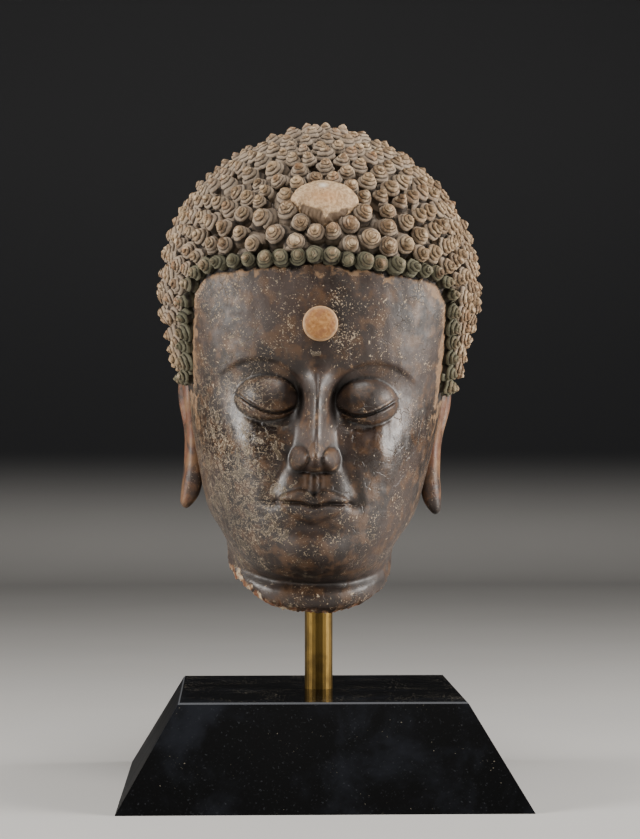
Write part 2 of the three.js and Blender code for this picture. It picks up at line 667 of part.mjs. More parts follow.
function place(name, geometry, material, frame) {
  const mesh = new THREE.Mesh(geometry, material);
  mesh.name = name;
  if (frame) mesh.applyMatrix4(frame);
  object.add(mesh);
}

const jewel = cabochon(jewelOutline, jewelProud, jewelSeat, 4, jewelSides);
const urna = cabochon(urnaOutline, urnaProud, urnaSeat, 2, urnaSides);
place('plinth', plinthGeometry(), finish(0x15161a, 0.35));
place('mount_rod', bar(rodDiameter / 2, rodFoot, rodTop, rodChamfer), finish(0x9a7f3c, 0.3, 1));
place('head', headGeometry(), finish(0x4a3a2e, 0.5));
place('hair_jewel', jewel, finish(0xcdbb9c, 0.6), jewelFrame);
place('urna', urna, finish(0xb07a42, 0.6), urnaFrame);

export default object;
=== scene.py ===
# Painted stucco head of a buddha on its brass bar and black stone plinth.
# Lengths in the shape code are millimetres; meshes, camera and lights are in metres.
import math

import bpy
import numpy as np
from mathutils import Matrix, Vector
from mathutils.kdtree import KDTree


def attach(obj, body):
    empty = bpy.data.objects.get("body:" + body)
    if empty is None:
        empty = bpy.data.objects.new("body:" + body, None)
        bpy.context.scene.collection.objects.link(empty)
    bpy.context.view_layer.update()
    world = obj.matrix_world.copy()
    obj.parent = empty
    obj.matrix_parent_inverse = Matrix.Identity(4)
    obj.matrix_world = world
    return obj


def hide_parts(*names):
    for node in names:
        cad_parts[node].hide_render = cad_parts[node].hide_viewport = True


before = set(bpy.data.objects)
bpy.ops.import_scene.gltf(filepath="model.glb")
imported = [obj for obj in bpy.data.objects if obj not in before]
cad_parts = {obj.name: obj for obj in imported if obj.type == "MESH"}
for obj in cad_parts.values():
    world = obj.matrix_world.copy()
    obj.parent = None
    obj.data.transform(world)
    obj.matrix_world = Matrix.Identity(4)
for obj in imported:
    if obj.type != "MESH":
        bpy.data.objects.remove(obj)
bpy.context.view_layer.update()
print("loaded the frame:", sorted(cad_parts))

mm = 0.001
rng = np.random.default_rng(7)

camera = {
    "place": (-0.076, -2.212, 0.307),
    "lens": 105.2,
    "sensor": 36,        # along the picture's long side
    "turnRight": 2.0,    # degrees
    "lookUp": 0.6,
}


def addCamera():
    data = bpy.data.cameras.new("camera")
    data.sensor_fit = "AUTO"
    data.sensor_width = camera["sensor"]
    data.lens = camera["lens"]
    eye = bpy.data.objects.new("camera", data)
    eye.location = camera["place"]
    eye.rotation_euler = (math.radians(90 + camera["lookUp"]), 0, -math.radians(camera["turnRight"]))
    bpy.context.collection.objects.link(eye)
    bpy.context.scene.camera = eye


addCamera()
print("camera set")


# Small shape tools

def ramp(low, high, x):
    t = np.clip((x - low) / (high - low), 0, 1)
    return t * t * (3 - 2 * t)


def bell(x, middle, reach):
    return np.exp(-((x - middle) / reach) ** 2)


def waves(points, size, seed, count=24):
    # smooth random relief, about -1 to 1, with features of the given size
    local = np.random.default_rng(seed)
    axes = local.normal(size=(count, 3))
    axes /= np.linalg.norm(axes, axis=1)[:, None]
    lengths = size * local.uniform(0.7, 1.6, count)
    phases = local.uniform(0, 2 * np.pi, count)
    total = np.zeros(len(points))
    for axis, length, phase in zip(axes, lengths, phases):
        total += np.sin(points @ axis * (2 * np.pi / length) + phase)
    return total / math.sqrt(count)


def addMesh(name, points, faces, attributes=None):
    # points in mm, faces a list of arrays of one corner count each
    mesh = bpy.data.meshes.new(name)
    corners = np.concatenate([group.reshape(-1) for group in faces]).astype(np.int32)
    sizes = np.concatenate([np.full(len(group), group.shape[1]) for group in faces]).astype(np.int32)
    mesh.vertices.add(len(points))
    mesh.vertices.foreach_set("co", (points * mm).astype(np.float32).reshape(-1))
    mesh.loops.add(len(corners))
    mesh.loops.foreach_set("vertex_index", corners)
    mesh.polygons.add(len(sizes))
    mesh.polygons.foreach_set("loop_start", np.concatenate([[0], np.cumsum(sizes)[:-1]]).astype(np.int32))
    mesh.polygons.foreach_set("use_smooth", np.full(len(sizes), True))
    mesh.update(calc_edges=True)
    mesh.validate()
    for key, values in (attributes or {}).items():
        layer = mesh.attributes.new(key, "FLOAT", "POINT")
        layer.data.foreach_set("value", values.astype(np.float32))
    piece = bpy.data.objects.new(name, mesh)
    bpy.context.collection.objects.link(piece)
    print(f"{name}: {len(points)} points, {sum(len(g) * (g.shape[1] - 2) for g in faces)} triangles")
    return piece


def gridFaces(rows, columns, start=0):
    # quads between rows of points that run round a form
    i, k = np.meshgrid(np.arange(rows - 1), np.arange(columns), indexing="ij")
    beside = (k + 1) % columns
    quads = [i * columns + k, i * columns + beside, (i + 1) * columns + beside, (i + 1) * columns + k]
    return np.stack(quads, -1).reshape(-1, 4) + start


def fan(centre, ring, outward=True):
    following = np.roll(ring, -1)
    pair = (ring, following) if outward else (following, ring)
    return np.stack([np.full(len(ring), centre), *pair], -1)


# The bare head, as in the solids: levels of height, half width, front, back and squareness

head = {
    "third": 88.0,           # chin to nose, nose to brow, brow to hairline
    "neckFoot": 160.0,       # above the ground
    "neckBelowChin": 38.0,
    "shift": -10.5,          # of the neck's middle along X
    "lean": 2.2,             # degrees, the crown towards +X
    "turn": -1.0,            # degrees, the face towards -X
    "slant": (0.33, 5.5, 10.5),
    "neckAndFace": [
        (-52, 60, 74, 64, 2.1), (-38, 67, 80, 68, 2.1), (-31, 72.5, 87, 71, 2.1), (-21, 74.5, 89, 72, 2.1),
        (-12, 74, 84, 71, 2.1), (-8, 74.5, 92, 71, 2.1), (-4, 76, 104, 72, 2.1), (3, 78, 116, 74, 2.1),
        (18, 83.5, 126, 79, 2.1), (38, 90.5, 130, 89, 2.15), (64, 97, 131.5, 105, 2.2),
        (92, 103.5, 132, 121, 2.25), (122, 109, 132.5, 134, 2.3), (152, 113.5, 134.5, 143, 2.3),
        (182, 119.5, 138.5, 149, 2.3), (212, 126.5, 140, 150.5, 2.25),
    ],
    "cranium": (242, 145.5, 133.5, 138.5, 150.5),    # base height, rise, half width, front, back
    "slimmer": 0.3,
}
levels = [list(row) for row in head["neckAndFace"]]
for step in range(7):
    base, rise, half, front, back = head["cranium"]
    a = math.radians(15 * step)
    inwards = math.cos(a) * (1 - head["slimmer"] * math.sin(a) ** 6)
    ring = [base + rise * math.sin(a)] + [size * inwards for size in (half, front, back)]
    levels.append(ring + [2.2 - 0.03 * step])
levels = np.array(levels, float)
topLevel = len(levels) - 1
spline = np.vstack([2 * levels[0] - levels[1], levels, levels[-2] * np.array([1, -1, -1, -1, 1.0])])


def levelAt(v):
    v = np.clip(np.asarray(v, float), 0, topLevel - 1e-9)
    i = np.floor(v).astype(int)
    t = (v - i)[..., None]
    p0, p1, p2, p3 = (spline[i + k] for k in range(4))
    bend = (2 * p0 - 5 * p1 + 4 * p2 - p3) * t ** 2 + (3 * p1 - p0 - 3 * p2 + p3) * t ** 3
    return 0.5 * (2 * p1 + (p2 - p0) * t + bend)


def bareHead(v, azimuth):
    height, half, front, back, square = np.moveaxis(levelAt(v), -1, 0)
    s, c = np.sin(azimuth), np.cos(azimuth)
    depth = np.maximum(np.where(c > 0, front, back), 1e-3)
    r = ((np.abs(s) / np.maximum(half, 1e-3)) ** square + (np.abs(c) / depth) ** square) ** (-1 / square)
    rise, full, gone = head["slant"]
    height = height + rise * (1 - ramp(full, gone, np.asarray(v, float))) * (front - r * c)
    return np.stack([r * s, -r * c, height], -1)


levelTable = np.linspace(0, topLevel, 4000)
heightTable = levelAt(levelTable)[:, 0]


def levelOfHeight(height):
    return np.interp(height, heightTable, levelTable)


leaning = Matrix.Rotation(math.radians(head["lean"]), 3, "Y")
turned = np.array(leaning @ Matrix.Rotation(math.radians(head["turn"]), 3, "Z"))
neckMiddle = np.array([head["shift"], 0, head["neckFoot"]])


def inPlace(points):
    # from the head's own frame, heights above the chin, to the object's
    raised = points + [0, 0, head["neckBelowChin"]]
    return raised @ turned.T + neckMiddle


# The face: how far its relief stands forward of the bare head, calm and symmetrical

nose = head["third"]
brow = 2 * head["third"]
eye = {"x": 42, "height": brow - 0.3 * head["third"]}
mouth = {"height": nose - head["third"] / 3, "half": 30.5}


def eyeRelief(a, h):
    top = eye["height"]
    d = -8 * bell(a, 37, 27) * bell(h, top + 6, 22) - 7 * bell(a, 18, 8) * bell(h, top + 1, 17)
    base = top - 6
    peak, rise, root = 50.0, brow + 11 - top, 9.0
    inner = (np.hypot((peak - a) / (peak - root), (h - base) / rise) - 1) * 26
    outer = (h - (base + rise - 0.012 * (a - peak) ** 2)) * 26 / rise
    above = np.where(a < peak, inner, outer)
    above = np.where(h < base, np.maximum(above, root - a), above)
    recess = ramp(-1.2, 1.8, -above) * np.exp(-(np.maximum(-above - 2, 0) / 15) ** 2)
    d -= 3.6 * recess * (1 - ramp(66, 92, a)) * ramp(base - 34, base + 8, h)
    ball = 1 - ((a - eye["x"] - 1) / 27) ** 2 - ((h - top + 2) / 19.5) ** 2
    d += 13.5 * np.maximum(ball, 0) ** 0.62
    along = np.clip((a - 19) / 47, 0, 1.35)
    slit = top - 7.5 - 6.5 * np.sin(np.pi * np.minimum(along, 1) ** 0.85) + 8 * along ** 2
    under = slit - h
    span = ramp(17, 23, a) * (1 - ramp(62, 74, a))
    d += 1.3 * span * bell(under, 0, 3.2) * (under < 0)
    d -= 3.4 * span * ramp(-0.3, 0.7, under) * (1 - ramp(2.2, 3.6, under))
    d += 0.9 * span * ramp(2.6, 3.8, under) * (1 - ramp(4, 10, under))
    return d - 1.6 * span * bell(under, 13.5, 2.6) * bell(a, eye["x"], 20)


def noseRelief(a, h):
    t = (brow - h) / head["third"]
    ridge = 0.5 + 7.5 * ramp(0, 0.34, t) + 26 * np.clip(t, 0, 1.2)
    tip = 0.85
    roll = np.where(t > tip, np.sqrt(np.maximum(1 - ((t - tip) / 0.165) ** 2, 0)), 1)
    half = 15 + 9 * np.clip(t, 0, 1) ** 2
    d = ridge * roll * ramp(-0.25, 0.12, t) * (1 - ramp(0, 1, a / half))
    d += 4 * bell(a, 0, 9) * bell(h, nose + 13, 9)
    wing = 1 - ((a - 14) / 8.2) ** 2 - ((h - nose - 9.5) / 10) ** 2
    d += 11.5 * np.sqrt(np.maximum(wing, 0)) * (1 - ramp(19, 24, a))
    return d - 6 * bell(a, 8.5, 3.6) * bell(h, nose + 0.5, 3.2)


def mouthLine(a):
    e = np.clip(a / mouth["half"], 0, 1)
    return mouth["height"] - 1.8 * bell(a, 0, 6) + 0.9 * bell(a, 13, 8) + 1.2 * e ** 3


def mouthRelief(a, h):
    middle, half = mouth["height"], mouth["half"]
    d = 6.5 * bell(a, 0, 33) * bell(h, middle + 1, 25)
    philtrum = ramp(middle + 9, middle + 14, h) * (1 - ramp(nose - 5, nose + 1, h))
    d += (0.8 * bell(a, 5.4, 2.6) - 1.2 * bell(a, 0, 3.4)) * philtrum
    e = np.clip(a / half, 0, 1)
    line = mouthLine(a)
    bow = 10.5 * np.sqrt(1 - e ** 2.2) - 2.4 * bell(a, 0, 4.2) + 0.8 * bell(a, 7, 4)
    lower = 13.5 * np.sqrt(1 - np.clip(e / 0.86, 0, 1) ** 2.2)
    fade = 1 - ramp(half - 3.5, half + 1.5, a)
    q = np.clip((h - line) / np.maximum(1.2 + bow, 1), 0, 1.5)
    upperLip = np.maximum(np.sin(np.pi * np.minimum(0.2 + 0.62 * q, 1)), 0) ** 0.9 * (1 - ramp(0.9, 1.14, q))
    q = np.clip((line - h) / np.maximum(0.8 + lower, 1), 0, 1.5)
    lowerLip = np.maximum(np.sin(np.pi * np.minimum(0.16 + 0.66 * q, 1)), 0) ** 0.9 * (1 - ramp(0.85, 1.2, q))
    d += fade * np.where(h >= line, 5.6 * upperLip, 7.4 * lowerLip)
    d -= 3.8 * bell(h, line, 1.5) * (1 - ramp(half - 1, half + 5, a))
    return d - 3.6 * bell(a, half + 2.5, 4.5) * bell(h, middle + 1, 4.5)


def foldDistance(a, h):
    start, end = np.array([22, nose + 12]), np.array([39, mouth["height"] + 2])
    way = end - start
    along = np.clip(((a - start[0]) * way[0] + (h - start[1]) * way[1]) / (way @ way), 0, 1)
    return np.hypot(a - start[0] - along * way[0], h - start[1] - along * way[1])


def cheekAndChinRelief(a, h):
    d = 6 * bell(a, 0, 25) * bell(h, 17, 16) - 5 * bell(a, 0, 22) * bell(h, mouth["height"] - 22, 6.5)
    d += 5 * bell(a, 62, 27) * bell(h, nose + 14, 34)
    return d - 2.2 * bell(foldDistance(a, h), 0, 5.5)


def faceRelief(points, azimuth):
    a, h = np.abs(points[..., 0]), points[..., 2]
    relief = eyeRelief(a, h) + noseRelief(a, h) + mouthRelief(a, h) + cheekAndChinRelief(a, h)
    return relief * ramp(0.15, 0.55, np.cos(azimuth))


hairline = np.array([
    (0, 263.5), (10, 260.5), (20, 258.5), (32, 256.5), (46, 253.5), (51.5, 243.5), (57, 211), (63, 173),
    (67, 158), (79, 158), (84, 200), (108, 202), (114, 112), (124, 58), (180, 56),
], float)


def hairlineHeight(azimuth):
    angle = np.degrees(np.abs(np.arctan2(np.sin(azimuth), np.cos(azimuth))))
    return np.interp(angle, hairline[:, 0], hairline[:, 1])


def pastHairline(points, azimuth):
    # how far a point of the head lies beyond the hairline, square to it
    step = 0.02
    reach = np.maximum(np.hypot(points[..., 0], points[..., 1]), 1)
    slope = (hairlineHeight(azimuth + step) - hairlineHeight(azimuth - step)) / (2 * step * reach)
    return (points[..., 2] - hairlineHeight(azimuth)) / np.sqrt(1 + slope ** 2)


def breakHeight(x, y):
    # the broken foot of the neck, in the object's frame: it slopes up to the back
    behind = np.maximum(y + 80, 0)
    slope = head["neckFoot"] + behind * (0.62 - 0.0012 * behind)
    rough = 1.8 * np.sin(x * 0.16 + 1) * np.cos(y * 0.13) + 1.2 * np.sin(x * 0.31 - y * 0.23)
    chip = 8 * bell(x, -60, 11) * bell(y, -48, 16)
    return slope + 1.5 - 0.08 * (x - head["shift"]) + rough * ramp(-84, -60, y) + chip


skin = {
    "frontColumns": 240, "backColumns": 76, "rows": 236, "hairRows": 34,
    "faceHalf": 84,          # degrees to each side, where the fine columns end
    "foot": -44, "top": 268,
    "jaw": 60,               # below it the rows close up towards the break
    "underCurls": 3,         # how far the skin drops back past the hairline
    "ledge": 1.7,            # and along the break
}


def skinAzimuths():
    # close together over the face, wide apart behind the ears
    n = skin["frontColumns"]
    s = (np.arange(n) + 0.5) / n * 2 - 1
    faceHalf = math.radians(skin["faceHalf"])
    front = faceHalf * (0.72 * s + 0.28 * s ** 3)
    m = skin["backColumns"]
    back = faceHalf + (np.arange(m) + 0.5) / m * (2 * np.pi - 2 * faceHalf)
    return np.concatenate([front, back])


def skinLevels():
    # heights close together at the eyes, the nose and the mouth
    h = np.linspace(skin["foot"], skin["top"], 6000)
    density = 0.75 + 0.55 * bell(h, eye["height"] - 2, 16) + 0.45 * bell(h, nose + 4, 14)
    density += 0.75 * bell(h, mouth["height"], 14) + 0.35 * bell(h, -20, 24) + 0.15 * bell(h, 262, 6)
    run = np.cumsum(density)
    run = (run - run[0]) / (run[-1] - run[0])
    heights = np.interp(np.linspace(0, 1, skin["rows"]), run, h)
    low = levelOfHeight(heights)
    high = np.linspace(low[-1], topLevel - 0.02, skin["hairRows"] + 1)[1:]
    return np.concatenate([low, high])


def neckRim(azimuths):
    # the level at which each column meets the break
    trial = np.linspace(0, 9, 700)
    v, az = np.meshgrid(trial, azimuths, indexing="ij")
    points = inPlace(bareHead(v, az))
    over = points[..., 2] - breakHeight(points[..., 0], points[..., 1])
    first = np.argmax(over > 0, axis=0)
    return trial[first]


def jagged(points, amount):
    flat = points.reshape(-1, 3)
    total = waves(flat, 9, 21) + 0.7 * waves(flat, 4.2, 22) + 0.45 * waves(flat, 2.4, 23)
    return amount * total.reshape(points.shape[:-1])


def makeSkin():
    azimuths = skinAzimuths()
    columns = len(azimuths)
    rows = skinLevels()
    az = np.broadcast_to(azimuths, (len(rows), columns))
    rim = neckRim(azimuths)
    rim = rim + jagged(np.stack([100 * np.sin(azimuths), 100 * np.cos(azimuths), 0 * azimuths], -1), 0.07)
    rim = np.maximum(rim, 0.02)
    jaw = levelOfHeight(skin["jaw"])
    level = rows[:, None]
    v = np.where(level < jaw, rim + (level - rows[0]) * (jaw - rim) / (jaw - rows[0]), level)
    points = bareHead(v, az)
    relief = faceRelief(points, az)
    flat = points.reshape(-1, 3)
    edge = pastHairline(points, az) + 1 + 4.5 * ramp(35, 55, np.degrees(np.abs(az)))
    edge = edge + (1.2 * waves(flat, 16, 31) + 0.8 * waves(flat, 5, 32)).reshape(az.shape)
    relief = relief - skin["underCurls"] * ramp(-1, 1, edge) * (np.cos(az) > 0.25)
    swell = 0.25 * waves(flat, 34, 11) + 0.12 * waves(flat, 12, 12)
    out = points.copy()
    out[..., 1] -= relief
    radial = points * [1, 1, 0]
    radial /= np.linalg.norm(radial, axis=-1, keepdims=True)
    out += radial * swell.reshape(az.shape)[..., None]
    world = inPlace(out.reshape(-1, 3))
    ledge = brokenEdge(world)
    world = world - skin["ledge"] * ledge[:, None] * radial.reshape(-1, 3)
    masks = skinMasks(points, relief, edge, az)
    masks["broken"] = ledge
    return world, masks, len(rows), columns


def brokenEdge(world):
    # bare stucco along the break, widest at the left
    over = world[:, 2] - breakHeight(world[:, 0], world[:, 1])
    wide = 3.5 + 5 * ramp(-20, -62, world[:, 0])
    return 1 - ramp(wide - 2.2, wide, over + 1.8 * waves(world, 9, 41) + 1.1 * waves(world, 4, 42))


def soften(values, rounds):
    # evens a mask out over the grid of the skin
    for _ in range(rounds):
        up = np.vstack([values[1:], values[-1:]])
        down = np.vstack([values[:1], values[:-1]])
        values = (values + up + down + np.roll(values, 1, 1) + np.roll(values, -1, 1)) / 5
    return values


def skinMasks(points, relief, edge, az):
    # where paint is worn, flaked or broken, and where shade is painted, 0 to 1
    x, h = points[..., 0], points[..., 2]
    a = np.abs(x)
    side = np.degrees(np.abs(az))
    left = ramp(10, -20, x)
    crest = np.clip((relief - soften(relief, 14)) / 1.6, -1, 1)
    cheek = bell(h, 92, 60) * bell(a, 68, 34)
    masks = {}
    masks["wear"] = 0.14 + 0.34 * ramp(-26, -2, edge) + 0.2 * ramp(40, 60, side)
    masks["wear"] += 0.3 * np.clip(crest, 0, 1) + 0.22 * bell(h, mouth["height"] - 16, 8) * bell(a, 0, 20)
    masks["wear"] += 0.1 * cheek - 0.12 * bell(h, 25, 35)
    masks["flaking"] = 0.14 + 0.2 * left * cheek + 0.1 * bell(h, 20, 40) + 0.08 * left
    masks["specks"] = 0.22 + 0.22 * bell(h, 214, 40) + 0.24 * cheek * left
    masks["specks"] += 0.1 * bell(h, 40, 30) + 0.15 * bell(h, -22, 10)
    # painted shade: darker in the hollows of the face, in the neck crease, in the gap under the curls and on
    # the left of the jaw
    masks["soot"] = 0.85 * ramp(0.35, 1.0, -crest) * (h > 60) + 0.75 * bell(h, -9, 5) * (edge < 0)
    masks["soot"] += 0.95 * ramp(-0.6, 1.0, edge) * (1 - ramp(4, 11, edge))
    masks["soot"] += 0.5 * left * bell(h, 36, 34) * ramp(14, 40, side)
    masks["rust"] = 0.14 * ramp(50, 75, side) + 0.1 * ramp(-10, 0, edge)
    masks["rust"] += 0.2 * bell(h, mouth["height"] - 10, 10) * bell(a, 0, 22)
    masks["rims"] = 0.25 + 0.6 * left
    masks["scalp"] = ramp(6, 11, edge)
    polished = 0.08 + 0.92 * bell(h, 104, 42) * ramp(8, 40, a)
    polished += 0.45 * bell(h, -18, 12) + 0.35 * bell(a, 0, 14) * ramp(60, 90, h)
    masks["gloss"] = polished * (1 - ramp(-10, -2, edge))
    masks["crazing"] = ramp(0.1, 0.6, left * bell(h, 88, 78) * ramp(20, 50, a))
    return {key: np.clip(values, 0, 1).reshape(-1) for key, values in masks.items()}


neckBreak = {
    "bore": 12.6,
    "boreTop": 262.0,        # above the ground
    "recess": 5.5,
    "rings": (0.012, 0.03, 0.055, 0.09, 0.15, 0.24, 0.35, 0.47, 0.6, 0.73, 0.86, 1.0),
}


def makeBreak(rimPoints):
    # the broken underside, from the rim in to the bore that the bar stands in
    bore = neckBreak["bore"]
    rings = []
    for t in neckBreak["rings"]:
        out = np.hypot(rimPoints[:, 0], rimPoints[:, 1])
        r = out + (bore - out) * t
        ring = rimPoints.copy()
        ring[:, 0] *= r / out
        ring[:, 1] *= r / out
        recess = neckBreak["recess"] * ramp(0.02, 0.12, t) * (1 - 0.35 * t)
        target = breakHeight(ring[:, 0], ring[:, 1]) + recess + jagged(ring, 0.9)
        ring[:, 2] = rimPoints[:, 2] + (target - rimPoints[:, 2]) * ramp(0, 0.08, t)
        rings.append(ring)
    top = rings[-1].copy()
    top[:, 2] = neckBreak["boreTop"]
    rings.append(top)
    return rings


ear = {
    "foot": 49.5, "footDrop": 1.5, "top": 196, "middle": 12, "lobe": 20, "waist": 13.5, "rim": 19,
    "rings": 74, "around": 56,
    "paint": {"wear": 0.1, "specks": 0.25, "flaking": 0.2, "gloss": 0.05},
}


def makeEar(side):
    n, m = ear["rings"], ear["around"]
    earFoot = ear["foot"] + side * ear["footDrop"]
    t = 0.5 - 0.5 * np.cos((np.arange(n) + 0.7) / (n + 0.4) * np.pi)
    t = t[:, None]
    angle = (np.arange(m) / m * 2 * np.pi)[None, :]
    outer = 116 + 8 * ramp(0.4, 0.74, t) + 4 * bell(t, 0.06, 0.13)
    flared = 3.5 * (1 - ramp(0, 0.12, t)) ** 2
    thickness = ear["lobe"] + (ear["waist"] - ear["lobe"]) * ramp(0.1, 0.4, t)
    thickness = thickness + (ear["rim"] - ear["waist"]) * ramp(0.5, 0.8, t)
    x = outer - thickness / 2 + flared
    y = ear["middle"] - 5 + 11 * t
    h = earFoot + (ear["top"] - earFoot) * t
    ends = np.sqrt(1 - (2 * t - 1) ** 4)
    half = (14.5 + 9 * ramp(0.42, 0.72, t)) * ends
    thick = thickness / 2 * np.sqrt(1 - np.abs(2 * t - 1) ** 6)
    c, s = np.cos(angle), np.sin(angle)
    out = np.sign(c) * np.abs(c) ** 0.7 * thick
    along = np.sign(s) * np.abs(s) ** 0.85 * half
    share = np.abs(along) / half
    concha = 7.5 * ramp(0.46, 0.6, t) * (1 - ramp(0.84, 0.93, t))
    lobe = 1.6 * bell(t, 0.25, 0.16)
    sunk = np.where(c > 0, (concha + lobe) * (1 - ramp(0.3, 0.75, share)), 0)
    ridge = 2.6 * bell(along, 5 + 3 * np.sin(t * 9), 3.4) * (c > 0)
    ridge = ridge * ramp(0.5, 0.64, t) * (1 - ramp(0.8, 0.9, t))
    points = np.stack([x + out - sunk + ridge + 0.18 * along, y + along, h + 0 * angle], -1)
    first = np.array([[x[0, 0], y[0, 0], earFoot - 0.6]])
    last = np.array([[x[-1, 0], y[-1, 0], ear["top"] + 0.3]])
    points = np.concatenate([first, points.reshape(-1, 3), last]) * [side, 1, 1]
    grid = gridFaces(n, m, 1)
    bottom = fan(0, 1 + np.arange(m), outward=False)
    top = fan(len(points) - 1, 1 + (n - 1) * m + np.arange(m))
    faces = [grid, bottom, top] if side > 0 else [g[:, ::-1] for g in (grid, bottom, top)]
    return points, faces


def makeHead():
    world, masks, rows, columns = makeSkin()
    rings = makeBreak(world[:columns])
    count = len(world)
    extra = np.concatenate(rings)
    crown = inPlace(np.array([[0, 0, levels[-1, 0]]]))
    boreTop = np.array([[0, 0, neckBreak["boreTop"]]])
    points = [world, extra, crown, boreTop]
    grid = gridFaces(rows, columns)
    under = gridFaces(len(rings), columns, count)[:, ::-1]
    k = np.arange(columns)
    join = np.stack([k, count + k, count + (k + 1) % columns, (k + 1) % columns], -1)
    crownIndex = count + len(extra)
    cap = fan(crownIndex, (rows - 1) * columns + k)
    boreCap = fan(crownIndex + 1, count + (len(rings) - 1) * columns + k, outward=False)
    faces = {4: [grid, under, join], 3: [cap, boreCap]}
    total = crownIndex + 2
    for side in (-1, 1):
        earPoints, earFaces = makeEar(side)
        points.append(inPlace(earPoints))
        faces[4].append(earFaces[0] + total)
        faces[3] += [group + total for group in earFaces[1:]]
        total += len(earPoints)
    added = total - count
    full = {key: np.concatenate([values, np.zeros(added)]) for key, values in masks.items()}
    full["broken"][count:count + len(extra)] = 1
    ears = slice(crownIndex + 2, None)
    full["rust"][ears] = 0.85 - 0.3 * ramp(300, 250, np.concatenate(points)[ears, 2])
    for key, value in ear["paint"].items():
        full[key][ears] = value
    points = np.concatenate(points)
    return points, [np.concatenate(faces[4]), np.concatenate(faces[3])], full


headPoints, headFaces, headMasks = makeHead()
skinPiece = addMesh("head_skin", headPoints, headFaces, headMasks)
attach(skinPiece, "root")
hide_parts("head")


# The curls: snail shells of clay, stuck on row by row, one on each cone of the solid

curl = {
    "height": 13, "sunk": 3, "spread": 1.07, "tip": 0.2, "skirt": 1.4,
    "uneven": (0.9, 1.08), "stretched": (0.92, 1.08), "tilt": 0.12, "droop": 0.06,
    "lowShare": 0.05, "low": 0.72,         # a few are pressed flatter
    "firstRowSkirt": 0.72, "nearEdge": 10,
}
curlDetail = {
    "front": {"steps": 16, "across": (0.08, 0.28, 0.58, 0.88)},
    "back": {"steps": 10, "across": (0.2, 0.65)},
}
curlKinds = [
    {"turns": 2.6, "bulge": 0.33, "cut": 0.1, "domed": 1.35},
    {"turns": 3.1, "bulge": 0.28, "cut": 0.09, "domed": 1.6},
    {"turns": 2.3, "bulge": 0.26, "cut": 0.07, "domed": 1.45},
    {"turns": 2.7, "bulge": 0.16, "cut": 0.04, "domed": 1.8},    # worn and dusty
]


def treeOf(points):
    tree = KDTree(len(points))
    for i, point in enumerate(points):
        tree.insert(point, i)
    tree.balance()
    return tree


def curlSpots():
    # tips and directions of the cones on the solid head
    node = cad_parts["head"]
    co = np.empty(len(node.data.vertices) * 3, np.float32)
    node.data.vertices.foreach_get("co", co)
    world = np.unique(np.round(co.reshape(-1, 3) / mm, 3), axis=0)
    local = (world - neckMiddle) @ turned - [0, 0, head["neckBelowChin"]]
    upwards = np.linspace(levelOfHeight(-20), topLevel - 0.01, 420)
    v, az = np.meshgrid(upwards, np.linspace(-np.pi, np.pi, 420), indexing="ij")
    v, az = v.reshape(-1), az.reshape(-1)
    surface = bareHead(v, az)
    tree = treeOf(surface)
    around = np.linspace(-np.pi, np.pi, 1441)
    hairEdge = treeOf(bareHead(levelOfHeight(hairlineHeight(around)), around))
    spots = []
    step = 0.01
    for point in local:
        _, i, far = tree.find(point)
        if far < 0.86 * curl["height"] or far > 1.15 * curl["height"]:
            continue
        if surface[i, 2] < hairlineHeight(az[i]) - 4:
            continue
        low = min(v[i], topLevel - 0.03)
        up = bareHead(low + step, az[i]) - bareHead(low - step, az[i])
        across = bareHead(low, az[i] + step) - bareHead(low, az[i] - step)
        normal = np.cross(across, up)
        normal /= np.linalg.norm(normal)
        foot = point - normal * far
        spots.append((foot, normal, hairEdge.find(foot)[2] < curl["nearEdge"]))
    return spots


